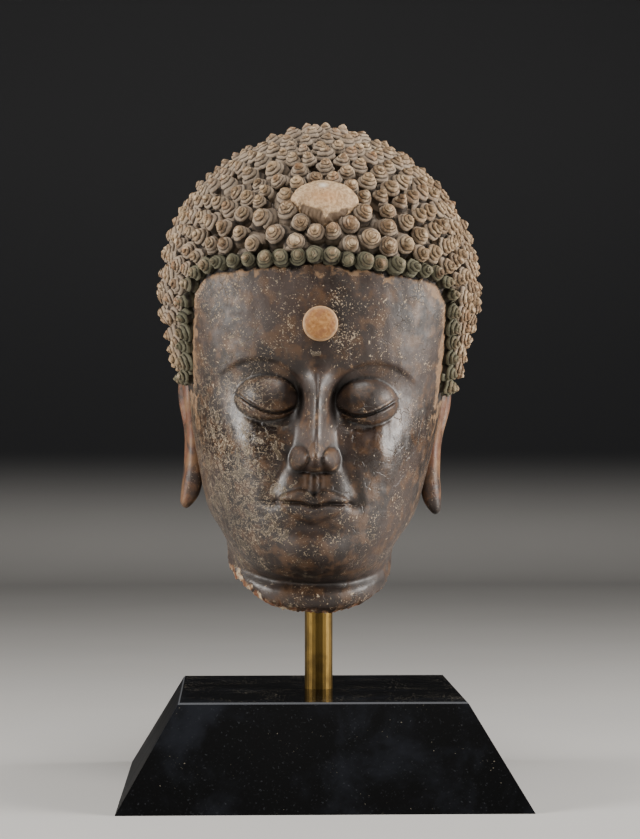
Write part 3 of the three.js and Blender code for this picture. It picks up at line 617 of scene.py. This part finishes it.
def curlForm(steps, across, turns, bulge, cut, domed):
    # one curl of radius and height 1, wound up as a bead with deep grooves: points, quads, triangles
    count = int(round(turns * steps))
    k = np.arange(count + steps + 1)
    share = k / (count + steps)
    r = curl["tip"] + (1 - curl["tip"]) * (1 - share) ** 0.95
    z = 0.92 * (1 - r ** domed) / (1 - curl["tip"] ** domed)
    groove = np.stack([r, z], -1)
    chord = groove[steps:] - groove[:count + 1]
    outward = np.stack([chord[:, 1], -chord[:, 0]], -1)
    groove[:, 0] -= cut * np.clip(k / steps, 0, 1) * r
    rows, crests = [groove[:count + 1]], [np.zeros(count + 1)]
    for s in across:
        swell = bulge * np.sin(np.pi * s ** 0.8) ** 0.6
        rows.append(np.stack([r, z], -1)[:count + 1] + s * chord + swell * outward)
        crests.append(np.full(count + 1, swell / bulge))
    angle = k * 2 * np.pi / steps
    loop = angle[:steps]

    def turned(profile, angles):
        return np.stack([profile[:, 0] * np.cos(angles), profile[:, 0] * np.sin(angles), profile[:, 1]], -1)

    end = groove[count:count + steps]
    knob = np.stack([end[:, 0] * 1.2, end[:, 1] + 0.07], -1)
    skirt = np.stack([np.full(steps, curl["skirt"]), np.full(steps, -curl["sunk"] / curl["height"])], -1)
    parts = [turned(groove, angle)] + [turned(row, angle[:count + 1]) for row in rows[1:]]
    parts += [turned(knob, angle[count:count + steps]), turned(skirt, loop)]
    parts.append(np.array([[0, 0, 1.06], [0, 0, skirt[0, 1]]]))
    starts = np.cumsum([0] + [len(part) for part in parts])
    crest = np.concatenate([np.zeros(len(k))] + crests[1:] + [np.ones(steps), np.zeros(steps), [1, 0]])
    i = np.arange(count)
    first = [i] + [starts[n + 1] + i for n in range(len(across))]
    quads = [np.stack([low, low + 1, high + 1, high], -1) for low, high in zip(first, first[1:])]
    quads.append(np.stack([first[-1], first[-1] + 1, i + steps + 1, i + steps], -1))
    j = np.arange(steps)
    following = (j + 1) % steps
    knobStart, skirtStart, tip = starts[-4], starts[-3], starts[-2]
    quads.append(np.stack([skirtStart + j, skirtStart + following, j + 1, j], -1))
    quads.append(np.stack([count + j[:-1], count + j[1:], knobStart + j[1:], knobStart + j[:-1]], -1))
    tris = [np.stack([np.full(steps, tip), knobStart + j, knobStart + following], -1)]
    tris.append(np.stack([np.full(steps, tip + 1), skirtStart + following, skirtStart + j], -1))
    for ends, last in ((0, steps), (count, count + steps)):
        ladder = [ends] + [starts[n + 1] + ends for n in range(len(across))] + [last]
        fill = np.array([[ladder[0], one, other] for one, other in zip(ladder[1:], ladder[2:])])
        tris.append(fill if ends == 0 else fill[:, ::-1])
    after = count + steps
    tris.append(np.array([
        [knobStart, knobStart + steps - 1, after - 1], [after - 1, after, knobStart], [skirtStart, steps, 0],
    ]))
    return np.concatenate(parts), crest, np.concatenate(quads), np.concatenate(tris)


def addCurls(name, spots, detail):
    kinds = [curlForm(**curlDetail[detail], **kind) for kind in curlKinds]
    made = {"points": [], "quads": [], "tris": []}
    masks = {key: [] for key in ("crest", "tone", "green", "rise", "dustAndShade")}
    start = 0
    for foot, normal, firstRow, room in spots:
        # dust and painted shade: more dust and more worn curls towards the top and the left, and painted
        # shade darkens the curls towards the right
        dustedAndShaded = 0.6 * ramp(60, -110, foot[0]) + 0.6 * ramp(300, 385, foot[2])
        worn = rng.random() < 0.08 + 0.3 * dustedAndShaded
        points, crest, quads, tris = kinds[3 if worn else rng.integers(3)]
        size = np.clip(room, 5.5, 11.5) * curl["spread"] * rng.uniform(*curl["uneven"])
        tall = curl["height"] * rng.uniform(*curl["uneven"]) * (0.78 + 0.22 * size / 9)
        if rng.random() < curl["lowShare"]:
            tall *= curl["low"]
        axis = Vector(normal + rng.normal(0, curl["tilt"], 3) - [0, 0, curl["droop"]]).normalized()
        spin = Matrix.Rotation(rng.uniform(0, 2 * np.pi), 3, "Z")
        turn = np.array(axis.to_track_quat("Z", "Y").to_matrix() @ spin)
        shaped = points * [size * rng.uniform(*curl["stretched"]), size, tall]
        if firstRow:
            shaped[points[:, 2] < -0.01, :2] *= curl["firstRowSkirt"]
        made["points"].append(inPlace(shaped @ turn.T + foot))
        made["quads"].append(quads + start)
        made["tris"].append(tris + start)
        start += len(points)
        masks["crest"].append(crest)
        masks["rise"].append(points[:, 2])
        tone = rng.random()
        green = float(firstRow and foot[1] < -20) * rng.uniform(0.75, 1)
        for key, value in (("tone", tone), ("green", green), ("dustAndShade", dustedAndShaded)):
            masks[key].append(np.full(len(points), value))
    joined = {key: np.concatenate(values) for key, values in made.items()}
    placed = joined["points"]
    masks = {key: np.concatenate(values) for key, values in masks.items()}
    uneven = np.stack([waves(placed, 7, seed, 12) for seed in (71, 72, 73)], -1)
    rougher = np.stack([waves(placed, 3, seed, 12) for seed in (74, 75, 76)], -1)
    placed = placed + (0.42 * uneven + 0.27 * rougher) * ramp(-0.3, 0.3, masks["rise"])[:, None]
    return addMesh(name, placed, [joined["quads"], joined["tris"]], masks)


def withRoom(spots):
    # adds half the distance to the three nearest neighbours
    tree = treeOf([spot[0] for spot in spots])
    return [(*spot, np.mean([far for _, _, far in tree.find_n(spot[0], 4)[1:]]) / 2) for spot in spots]


curls = withRoom(curlSpots())
print("curls:", len(curls))
hairPieces = [
    addCurls("hair_front", [spot for spot in curls if spot[0][1] < -10], "front"),
    addCurls("hair_back", [spot for spot in curls if spot[0][1] >= -10], "back"),
]
for piece in hairPieces:
    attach(piece, "root")
    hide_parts("head")

# The jewel in the hair and the boss on the forehead: domes let into the head

jewel = {
    "width": 58, "above": 21, "below": 24, "proud": 16.5, "seat": 7, "rise": 315, "rings": 60, "around": 160,
    # direction in degrees, distance from the middle, steepness
    "facets": ((-121, 15.5, 1.8), (-60, 16.5, 1.8), (-155, 24.5, 1.4), (-20, 26, 1.4)),
}
boss = {"diameter": 30, "proud": 5, "seat": 5, "rise": 212, "rings": 40, "around": 120}


def letInto(rise):
    # the frame of a piece let into the head: its +Z points out of the head
    v = levelOfHeight(rise)
    step = 0.01
    up = bareHead(v + step, 0) - bareHead(v - step, 0)
    out = np.cross([1, 0, 0], up / np.linalg.norm(up))
    right = np.array([1.0, 0, 0])
    return inPlace(bareHead(v, 0)), turned @ np.stack([right, np.cross(out, right), out], 1)


def jewelOutline(angle):
    # round above, and drawn in below to a lip between two blunt corners
    below = np.sin(angle) < 0
    reach = np.where(below, jewel["below"], jewel["above"])
    power = np.where(below, 1.35, 2)
    share = (np.abs(np.cos(angle)) / (jewel["width"] / 2)) ** power + (np.abs(np.sin(angle)) / reach) ** power
    return share ** (-1 / power)


def makeDome(name, size, outline, dress):
    foot, turn = letInto(size["rise"])
    n, m = size["rings"], size["around"]
    angle = np.arange(m) / m * 2 * np.pi
    edge = outline(angle)
    a = np.linspace(0, 0.5 * np.pi, n, endpoint=False)
    shares = np.concatenate([[1, 1, 1], np.cos(a)])
    seat, proud = size["seat"], size["proud"]
    outs = np.concatenate([[-seat, -0.3 * seat, 0.05 * proud], proud * (0.18 + 0.82 * np.sin(a))])
    points = np.stack([
        shares[:, None] * edge * np.cos(angle), shares[:, None] * edge * np.sin(angle),
        outs[:, None] + 0 * angle,
    ], -1).reshape(-1, 3)
    points = np.concatenate([[[0, 0, -seat]], points, [[0, 0, proud]]])
    points, masks = dress(points)
    last = len(points) - 1
    faces = [gridFaces(len(shares), m, 1), np.concatenate([
        fan(0, 1 + np.arange(m), outward=False), fan(last, 1 + (len(shares) - 1) * m + np.arange(m)),
    ])]
    return addMesh(name, points @ turn.T + foot, faces, masks)


def dressJewel(points):
    # worn dome, broken off flat on both sides of its lip
    x, y, z = points.T
    top = ramp(0, 3, z)
    z = z + top * (0.35 * waves(points, 16, 51) + 0.16 * waves(points, 4, 52))
    chips = np.zeros(len(points))
    for towards, start, steep in jewel["facets"]:
        a = math.radians(towards)
        beyond = x * math.cos(a) + y * math.sin(a) - start + 0.5 * waves(points, 5, 53)
        facet = jewel["proud"] * 0.72 - steep * beyond
        chips = np.maximum(chips, ramp(0.1, 0.9, z - facet) * top)
        z = np.where(top > 0, np.minimum(z, np.maximum(facet, -0.5)), z)
    # painted highlight: a small pale spot high on the dome
    pale = bell(x, -2, 3.4) * bell(y, 9, 2.6) * top
    ochre = bell(x, 1, 17) * bell(y, -3, 9) * top
    return np.stack([x, y, z], -1), {"chips": chips, "pale": pale, "ochre": ochre}


def dressBoss(points):
    x, y, z = points.T
    r = np.hypot(x, y) / (boss["diameter"] / 2)
    z = z + ramp(0, 2, z) * (0.16 * waves(points, 6, 61) + 0.08 * waves(points, 2.6, 62))
    return np.stack([x, y, z], -1), {"rim": ramp(0.8, 0.97, r), "ring": bell(r, 0.9, 0.035)}


jewelPiece = makeDome("jewel_dome", jewel, jewelOutline, dressJewel)
bossPiece = makeDome("urna_boss", boss, lambda angle: 0 * angle + boss["diameter"] / 2, dressBoss)
for piece, node, slot in ((jewelPiece, "hair_jewel", "jewel_stucco"), (bossPiece, "urna", "urna_ochre")):
    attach(piece, "root")
    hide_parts(node)


# Node tools: each takes sockets and numbers, and works in the tree of its first socket

def put(tree, kind, values=None, **settings):
    # a node with its settings, and each input linked to a socket or set to a value
    node = tree.nodes.new("ShaderNode" + kind)
    for key, value in settings.items():
        setattr(node, key, value)
    for key, value in (values or {}).items():
        if isinstance(value, bpy.types.NodeSocket):
            tree.links.new(value, node.inputs[key])
        else:
            node.inputs[key].default_value = value
    return node


def noise(where, scale, detail=3.0, rough=0.55, distortion=0.0):
    values = {"Vector": where, "Scale": scale, "Detail": detail, "Roughness": rough, "Distortion": distortion}
    return put(where.id_data, "TexNoise", values).outputs[0]


def between(value, low, high):
    values = {0: value, 1: low, 2: high}
    return put(value.id_data, "MapRange", values, interpolation_type="SMOOTHSTEP").outputs[0]


def calc(operation, a, b=0.0):
    return put(a.id_data, "Math", {0: a, 1: b}, operation=operation).outputs[0]


def times(a, b):
    return calc("MULTIPLY", a, b)


def plus(a, b):
    return calc("ADD", a, b)


def minus(a, b):
    return calc("SUBTRACT", a, b)


def larger(a, b):
    return calc("MAXIMUM", a, b)


def blend(share, under, over):
    return put(share.id_data, "Mix", {0: share, 6: under, 7: over}, data_type="RGBA").outputs[2]


def cover(base, mask, strength, over):
    # a coat of one colour where the mask is
    return blend(times(mask, strength), base, over)


def attribute(tree, name):
    return put(tree, "Attribute", attribute_name=name).outputs["Fac"]


def palette(**colours):
    return {name: (*rgb, 1.0) for name, rgb in colours.items()}


def newGroup(name, inputs, outputs):
    # a vector and numbers in, masks out
    tree = bpy.data.node_groups.new(name, "ShaderNodeTree")
    tree.interface.new_socket("Vector", in_out="INPUT", socket_type="NodeSocketVector")
    for label, value in inputs.items():
        socket = tree.interface.new_socket(label, in_out="INPUT", socket_type="NodeSocketFloat")
        socket.default_value = value
    for label in outputs:
        tree.interface.new_socket(label, in_out="OUTPUT", socket_type="NodeSocketFloat")
    return tree, tree.nodes.new("NodeGroupInput").outputs, tree.nodes.new("NodeGroupOutput").inputs


def useGroup(name, values):
    return put(values["Vector"].id_data, "Group", values, node_tree=shared[name]).outputs


def makeSpecks():
    # small flakes that gather in clouds: Amount moves the threshold
    inputs = {"Scale": 600.0, "Cloud Scale": 40.0, "Amount": 0.5}
    tree, given, out = newGroup("flakeSpecks", inputs, ["Mask"])
    grain = noise(given["Vector"], given["Scale"], 2.5, 0.6, 0.3)
    cloud = noise(given["Vector"], given["Cloud Scale"], 3.0, 0.6)
    level = plus(plus(grain, times(cloud, 0.42)), times(given["Amount"], 0.2))
    tree.links.new(between(level, 0.93, 0.965), out["Mask"])
    return tree


def makeIslands():
    # ragged islands of paint: Amount 0 to 1
    inputs = {"Scale": 30.0, "Amount": 0.5, "Edge": 0.02}
    tree, given, out = newGroup("paintIslands", inputs, ["Mask", "Rim", "Gap"])
    shape = noise(given["Vector"], given["Scale"], 9.0, 0.62, 0.6)
    level = plus(shape, times(minus(given["Amount"], 0.5), 0.5))
    high = plus(given["Edge"], 0.5)
    mask = between(level, 0.5, high)
    tree.links.new(mask, out["Mask"])
    for name, middle, reach in (("Rim", 0.508, 0.014), ("Gap", 0.482, 0.016)):
        away = calc("ABSOLUTE", minus(level, middle))
        tree.links.new(between(away, reach, 0.0), out[name])
    return tree


def makeCracks():
    # thin broken lines of shrinkage cracks
    tree, given, out = newGroup("fineCracks", {"Scale": 60.0, "Width": 0.02}, ["Mask"])
    shift = put(tree, "TexNoise", {"Vector": given["Vector"], "Scale": 90.0, "Detail": 3.0}).outputs[1]
    moved = put(tree, "VectorMath", {0: shift, "Scale": 0.012}, operation="SCALE").outputs[0]
    where = put(tree, "VectorMath", {0: given["Vector"], 1: moved}, operation="ADD").outputs[0]
    cells = put(tree, "TexVoronoi", {"Vector": where, "Scale": given["Scale"]}, feature="DISTANCE_TO_EDGE")
    line = between(cells.outputs["Distance"], given["Width"], 0.0)
    keep = between(noise(given["Vector"], 55.0, 2.0), 0.5, 0.62)
    tree.links.new(times(line, keep), out["Mask"])
    return tree


shared = {"specks": makeSpecks(), "islands": makeIslands(), "cracks": makeCracks()}


def specks(where, scale, cloudScale, amount):
    values = {"Vector": where, "Scale": scale, "Cloud Scale": cloudScale, "Amount": amount}
    return useGroup("specks", values)["Mask"]


def islands(where, scale, amount, edge):
    values = {"Vector": where, "Scale": scale, "Amount": amount, "Edge": edge}
    return useGroup("islands", values)


def newMaterial(name):
    material = bpy.data.materials.new(name)
    material.use_nodes = True
    tree = material.node_tree
    tree.nodes.clear()
    shader = put(tree, "BsdfPrincipled")
    output = put(tree, "OutputMaterial")
    tree.links.new(shader.outputs[0], output.inputs[0])
    where = put(tree, "TexCoord").outputs["Object"]
    return material, tree, shader, where


def finishShader(tree, shader, base, roughness, height, strength, distance):
    tree.links.new(base, shader.inputs["Base Color"])
    tree.links.new(roughness, shader.inputs["Roughness"])
    bump = put(tree, "Bump", {"Height": height, "Strength": strength, "Distance": distance})
    tree.links.new(bump.outputs[0], shader.inputs["Normal"])


curlPaint = palette(
    clay=(0.135, 0.08, 0.041), tan=(0.355, 0.243, 0.138), cream=(0.58, 0.45, 0.30),
    # the near-black groove colour is painted shade
    dust=(0.275, 0.222, 0.172), groove=(0.016, 0.010, 0.007), orange=(0.26, 0.122, 0.048),
    verdigris=(0.088, 0.089, 0.052),
)
skinPaint = palette(
    lacquer=(0.018, 0.011, 0.008), plum=(0.042, 0.026, 0.020), umber=(0.080, 0.042, 0.021),
    tan=(0.19, 0.112, 0.058), olive=(0.082, 0.062, 0.037), cream=(0.40, 0.31, 0.21),
    # the near-black here is painted shade, and also the dark of cracks and grit
    rust=(0.125, 0.048, 0.023), ochre=(0.175, 0.092, 0.042), soot=(0.012, 0.009, 0.008),
)
jewelPaint = palette(
    stucco=(0.33, 0.215, 0.115), worn=(0.57, 0.41, 0.25), ochre=(0.46, 0.235, 0.09),
    # pale is a painted highlight, and the darkest brown is painted shade on the chipped facets
    pale=(0.66, 0.60, 0.52), pits=(0.20, 0.13, 0.08), core=(0.085, 0.052, 0.03),
)
bossPaint = palette(
    ochre=(0.28, 0.12, 0.031), worn=(0.39, 0.195, 0.066), stain=(0.27, 0.115, 0.04),
    rim=(0.50, 0.36, 0.21), joint=(0.16, 0.09, 0.05),
)
brass = palette(clean=(0.135, 0.086, 0.024), stained=(0.08, 0.051, 0.016), rubbed=(0.20, 0.135, 0.045))
stone = palette(
    black=(0.0012, 0.0012, 0.0014), cloud=(0.008, 0.009, 0.012), grain=(0.05, 0.053, 0.06),
    # the arris colour is a painted highlight
    dust=(0.25, 0.22, 0.17), arris=(0.10, 0.105, 0.115),
)
floorPaint = palette(pale=(0.50, 0.49, 0.475), paler=(0.55, 0.54, 0.525), behind=(0.022, 0.023, 0.026))


def paintSkin():
    material, tree, shader, where = newMaterial("worn lacquer paint")
    c = skinPaint
    big = noise(where, 14.0, 4.0, 0.6)
    mid = noise(where, 70.0, 5.0, 0.6)
    base = blend(between(big, 0.42, 0.6), c["lacquer"], c["plum"])
    base = blend(between(mid, 0.46, 0.66), base, c["umber"])
    worn = islands(where, 95.0, attribute(tree, "wear"), 0.12)
    base = blend(worn["Mask"], base, c["tan"])
    flaking = islands(where, 80.0, attribute(tree, "flaking"), 0.025)
    base = cover(base, flaking["Mask"], 0.7, c["olive"])
    crazed = islands(where, 125.0, 0.52, 0.03)
    rims, crazing = attribute(tree, "rims"), attribute(tree, "crazing")
    for line, over in (("Rim", "cream"), ("Gap", "soot")):
        thin = larger(flaking[line], times(crazed[line], crazing))
        base = cover(base, thin, rims, c[over])
    speckled = attribute(tree, "specks")
    fine = specks(where, 620.0, 38.0, speckled)
    coarse = specks(where, 210.0, 26.0, minus(speckled, 0.25))
    flakes = larger(fine, coarse)
    base = cover(base, flakes, 0.8, c["cream"])
    lines = useGroup("cracks", {"Vector": where, "Scale": 75.0, "Width": 0.035})["Mask"]
    base = cover(base, lines, rims, c["olive"])
    # painted shade over the hollows, the neck crease, the hairline gap and the left jaw
    base = blend(attribute(tree, "soot"), base, c["soot"])
    rusty = islands(where, 60.0, attribute(tree, "rust"), 0.2)
    base = blend(rusty["Mask"], base, blend(between(mid, 0.4, 0.62), c["rust"], c["ochre"]))
    broken = attribute(tree, "broken")
    crumb = c["rust"]
    grains = ((260.0, 0.42, 0.6, "tan"), (150.0, 0.52, 0.6, "cream"), (90.0, 0.52, 0.66, "soot"))
    for scale, low, high, over in grains:
        crumb = blend(between(noise(where, scale, 4.0), low, high), crumb, c[over])
    base = blend(broken, base, crumb)
    scalp = attribute(tree, "scalp")
    # the skin under the curls: dust mottled with the near-black painted shade of the grooves
    clay = blend(between(mid, 0.38, 0.62), curlPaint["groove"], curlPaint["dust"])
    base = blend(scalp, base, clay)
    matt = larger(flakes, larger(flaking["Mask"], times(worn["Mask"], 0.7)))
    rough = plus(times(matt, 0.3), between(noise(where, 120.0, 6.0, 0.7), 0.2, 0.9))
    rough = plus(times(rough, 0.32), 0.45)
    rough = minus(rough, times(attribute(tree, "gloss"), 0.33))
    rough = larger(rough, times(broken, 0.95))
    rough = larger(rough, times(scalp, 0.9))
    height = plus(times(flaking["Mask"], 0.5), times(flakes, 0.35))
    height = minus(height, times(lines, 0.5))
    height = plus(height, times(noise(where, 420.0, 4.0, 0.6), 0.5))
    height = plus(height, times(mid, 0.8))
    finishShader(tree, shader, base, rough, height, 0.55, 0.0007)
    shader.inputs["Specular IOR Level"].default_value = 0.5
    return material


def paintCurls():
    material, tree, shader, where = newMaterial("dusty curl clay")
    c = curlPaint
    tone, rise, crest, green, dustAndShade = (
        attribute(tree, name) for name in ("tone", "rise", "crest", "green", "dustAndShade")
    )
    grain = noise(where, 260.0, 5.0, 0.65)
    cloud = noise(where, 26.0, 3.0)
    level = plus(grain, times(tone, 0.22))
    base = blend(between(level, 0.44, 0.74), c["clay"], c["tan"])
    base = cover(base, between(cloud, 0.5, 0.64), 0.55, c["orange"])
    # painted shade: clay colour darkens the curls on the right, below the crown
    base = cover(base, between(dustAndShade, 0.5, 0.0), 0.3, c["clay"])
    # cream on the crests of the coils: rubbed wear, and partly a painted highlight
    worn = times(crest, between(noise(where, 150.0, 3.0), 0.48, 0.66))
    base = cover(base, worn, 0.7, c["cream"])
    settled = plus(plus(grain, times(cloud, 0.6)), times(dustAndShade, 0.45))
    settled = minus(settled, rise)
    base = cover(base, between(settled, 0.15, 0.6), 0.8, c["dust"])
    aged = minus(plus(green, grain), times(rise, 0.45))
    verdigris = times(between(aged, 0.7, 1.15), between(green, 0.0, 0.3))
    base = cover(base, verdigris, 0.88, c["verdigris"])
    # painted shade: near black along the spiral grooves
    low = times(between(crest, 0.8, 0.15), between(rise, -0.05, 0.12))
    base = cover(base, low, 0.85, c["groove"])
    rough = plus(times(grain, 0.2), 0.72)
    height = plus(grain, times(noise(where, 800.0, 3.0), 0.4))
    finishShader(tree, shader, base, rough, height, 0.8, 0.0009)
    return material


def paintJewel():
    material, tree, shader, where = newMaterial("pale jewel stucco")
    grain = noise(where, 330.0, 5.0, 0.65)
    base = blend(between(grain, 0.4, 0.62), jewelPaint["stucco"], jewelPaint["worn"])
    # ochre is a stain, and the pale spot is a painted highlight
    for stain, strength in (("ochre", 0.7), ("pale", 0.9)):
        base = cover(base, attribute(tree, stain), strength, jewelPaint[stain])
    fine = specks(where, 900.0, 70.0, 0.35)
    base = cover(base, fine, 0.7, jewelPaint["pits"])
    # painted shade: dark brown on the chipped facets at the foot of the jewel
    base = cover(base, attribute(tree, "chips"), 0.85, jewelPaint["core"])
    height = plus(grain, times(fine, -0.6))
    finishShader(tree, shader, base, plus(times(grain, 0.2), 0.6), height, 0.8, 0.0009)
    return material


def paintBoss():
    material, tree, shader, where = newMaterial("ochre boss stucco")
    grain = noise(where, 300.0, 5.0, 0.65)
    base = blend(between(grain, 0.38, 0.64), bossPaint["ochre"], bossPaint["worn"])
    base = blend(between(noise(where, 120.0, 3.0), 0.52, 0.64), base, bossPaint["stain"])
    base = cover(base, attribute(tree, "rim"), 0.45, bossPaint["rim"])
    base = cover(base, attribute(tree, "ring"), 0.35, bossPaint["joint"])
    finishShader(tree, shader, base, plus(times(grain, 0.2), 0.5), grain, 0.5, 0.0006)
    return material


def paintBrass():
    material, tree, shader, where = newMaterial("aged brass bar")
    stretched = put(tree, "Mapping", {"Vector": where, "Scale": (1.0, 1.0, 0.05)}).outputs[0]
    streaks = noise(stretched, 900.0, 4.0, 0.6)
    stain = noise(where, 60.0, 4.0)
    base = blend(between(stain, 0.4, 0.66), brass["clean"], brass["stained"])
    base = cover(base, between(streaks, 0.5, 0.75), 0.15, brass["rubbed"])
    rough = plus(times(stain, 0.2), 0.4)
    finishShader(tree, shader, base, rough, streaks, 0.05, 0.0002)
    shader.inputs["Metallic"].default_value = 1.0
    return material


def paintStone():
    material, tree, shader, where = newMaterial("black plinth stone")
    cloud = noise(where, 13.0, 6.0, 0.62, 0.3)
    fine = noise(where, 480.0, 3.0, 0.6)
    base = blend(between(cloud, 0.46, 0.72), stone["black"], stone["cloud"])
    base = cover(base, between(fine, 0.62, 0.72), 0.35, stone["grain"])
    upward = put(tree, "SeparateXYZ", {0: put(tree, "NewGeometry").outputs["Normal"]}).outputs[2]
    polish = between(upward, 0.8, 0.95)
    amount = minus(times(polish, 0.5), 0.12)
    dots = specks(where, 420.0, 30.0, amount)
    base = cover(base, dots, 0.6, stone["dust"])
    # painted highlight along the chamfered top edge
    arris = times(between(upward, 0.56, 0.66), between(upward, 0.92, 0.82))
    base = cover(base, arris, 0.7, stone["arris"])
    honed = plus(times(cloud, 0.25), 0.3)
    rough = put(tree, "Mix", {0: polish, 2: honed, 3: 0.12}, data_type="FLOAT").outputs[0]
    finishShader(tree, shader, base, rough, fine, 0.08, 0.0002)
    shader.inputs["Specular IOR Level"].default_value = 0.03
    return material


def paintFloor():
    # pale where the object stands, darker as the sweep rises behind it
    material, tree, shader, where = newMaterial("pale studio floor")
    base = blend(noise(where, 3.0, 2.0), floorPaint["pale"], floorPaint["paler"])
    height = put(tree, "SeparateXYZ", {0: where}).outputs[2]
    base = blend(between(height, 0.04, 0.30), base, floorPaint["behind"])
    tree.links.new(base, shader.inputs["Base Color"])
    shader.inputs["Roughness"].default_value = 0.75
    return material


def paint(piece, material):
    piece.data.materials.clear()
    piece.data.materials.append(material)


paint(skinPiece, paintSkin())
curlClay = paintCurls()
for piece in hairPieces:
    paint(piece, curlClay)
paint(jewelPiece, paintJewel())
paint(bossPiece, paintBoss())
for node, material in (("mount_rod", paintBrass()), ("plinth", paintStone())):
    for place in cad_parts[node].material_slots:
        place.material = material
print("materials done")


# The stage: a pale sweep, soft boxes at both sides and above

stage = {
    "front": -4.0, "back": 3.2, "half": 4.5, "bend": 1.2, "bendSteps": 16, "height": 3.6,
    "lightsAim": (0, 0, 0.38), "sky": (0.85, 0.83, 0.80, 1), "skyPower": 0.1,
}
lights = {
    "left": {"place": (-1.95, -0.6, 0.78), "size": (1.0, 1.25), "power": 62, "tint": (1.0, 0.965, 0.92)},
    "right": {"place": (2.0, -0.45, 0.66), "size": (1.3, 1.5), "power": 90, "tint": (1.0, 0.965, 0.92)},
    "front": {"place": (0.1, -1.0, 2.2), "size": (1.0, 0.8), "power": 34, "tint": (1.0, 0.98, 0.95)},
}


def addSweep():
    line = [(stage["front"], 0.0), (stage["back"], 0.0)]
    for i in range(1, stage["bendSteps"] + 1):
        a = math.radians(90 * i / stage["bendSteps"])
        line.append((stage["back"] + stage["bend"] * math.sin(a), stage["bend"] * (1 - math.cos(a))))
    line.append((line[-1][0], stage["height"]))
    points = np.array([(side * stage["half"], y, z) for y, z in line for side in (-1, 1)]) / mm
    k = np.arange(len(line) - 1) * 2
    sweep = addMesh("floor_sweep", points, [np.stack([k, k + 1, k + 3, k + 2], -1)])
    paint(sweep, paintFloor())


def addLight(name, spec):
    data = bpy.data.lights.new(name, "AREA")
    data.shape = "ELLIPSE"
    data.size, data.size_y = spec["size"]
    data.energy = spec["power"]
    data.color = spec["tint"]
    lamp = bpy.data.objects.new(name, data)
    lamp.location = spec["place"]
    aim = Vector(stage["lightsAim"])
    lamp.rotation_euler = (aim - lamp.location).to_track_quat("-Z", "Y").to_euler()
    bpy.context.collection.objects.link(lamp)


addSweep()
for name, spec in lights.items():
    addLight(name, spec)
world = bpy.data.worlds.new("studio")
bpy.context.scene.world = world
world.use_nodes = True
world.node_tree.nodes["Background"].inputs[0].default_value = stage["sky"]
world.node_tree.nodes["Background"].inputs[1].default_value = stage["skyPower"]
print("stage set")
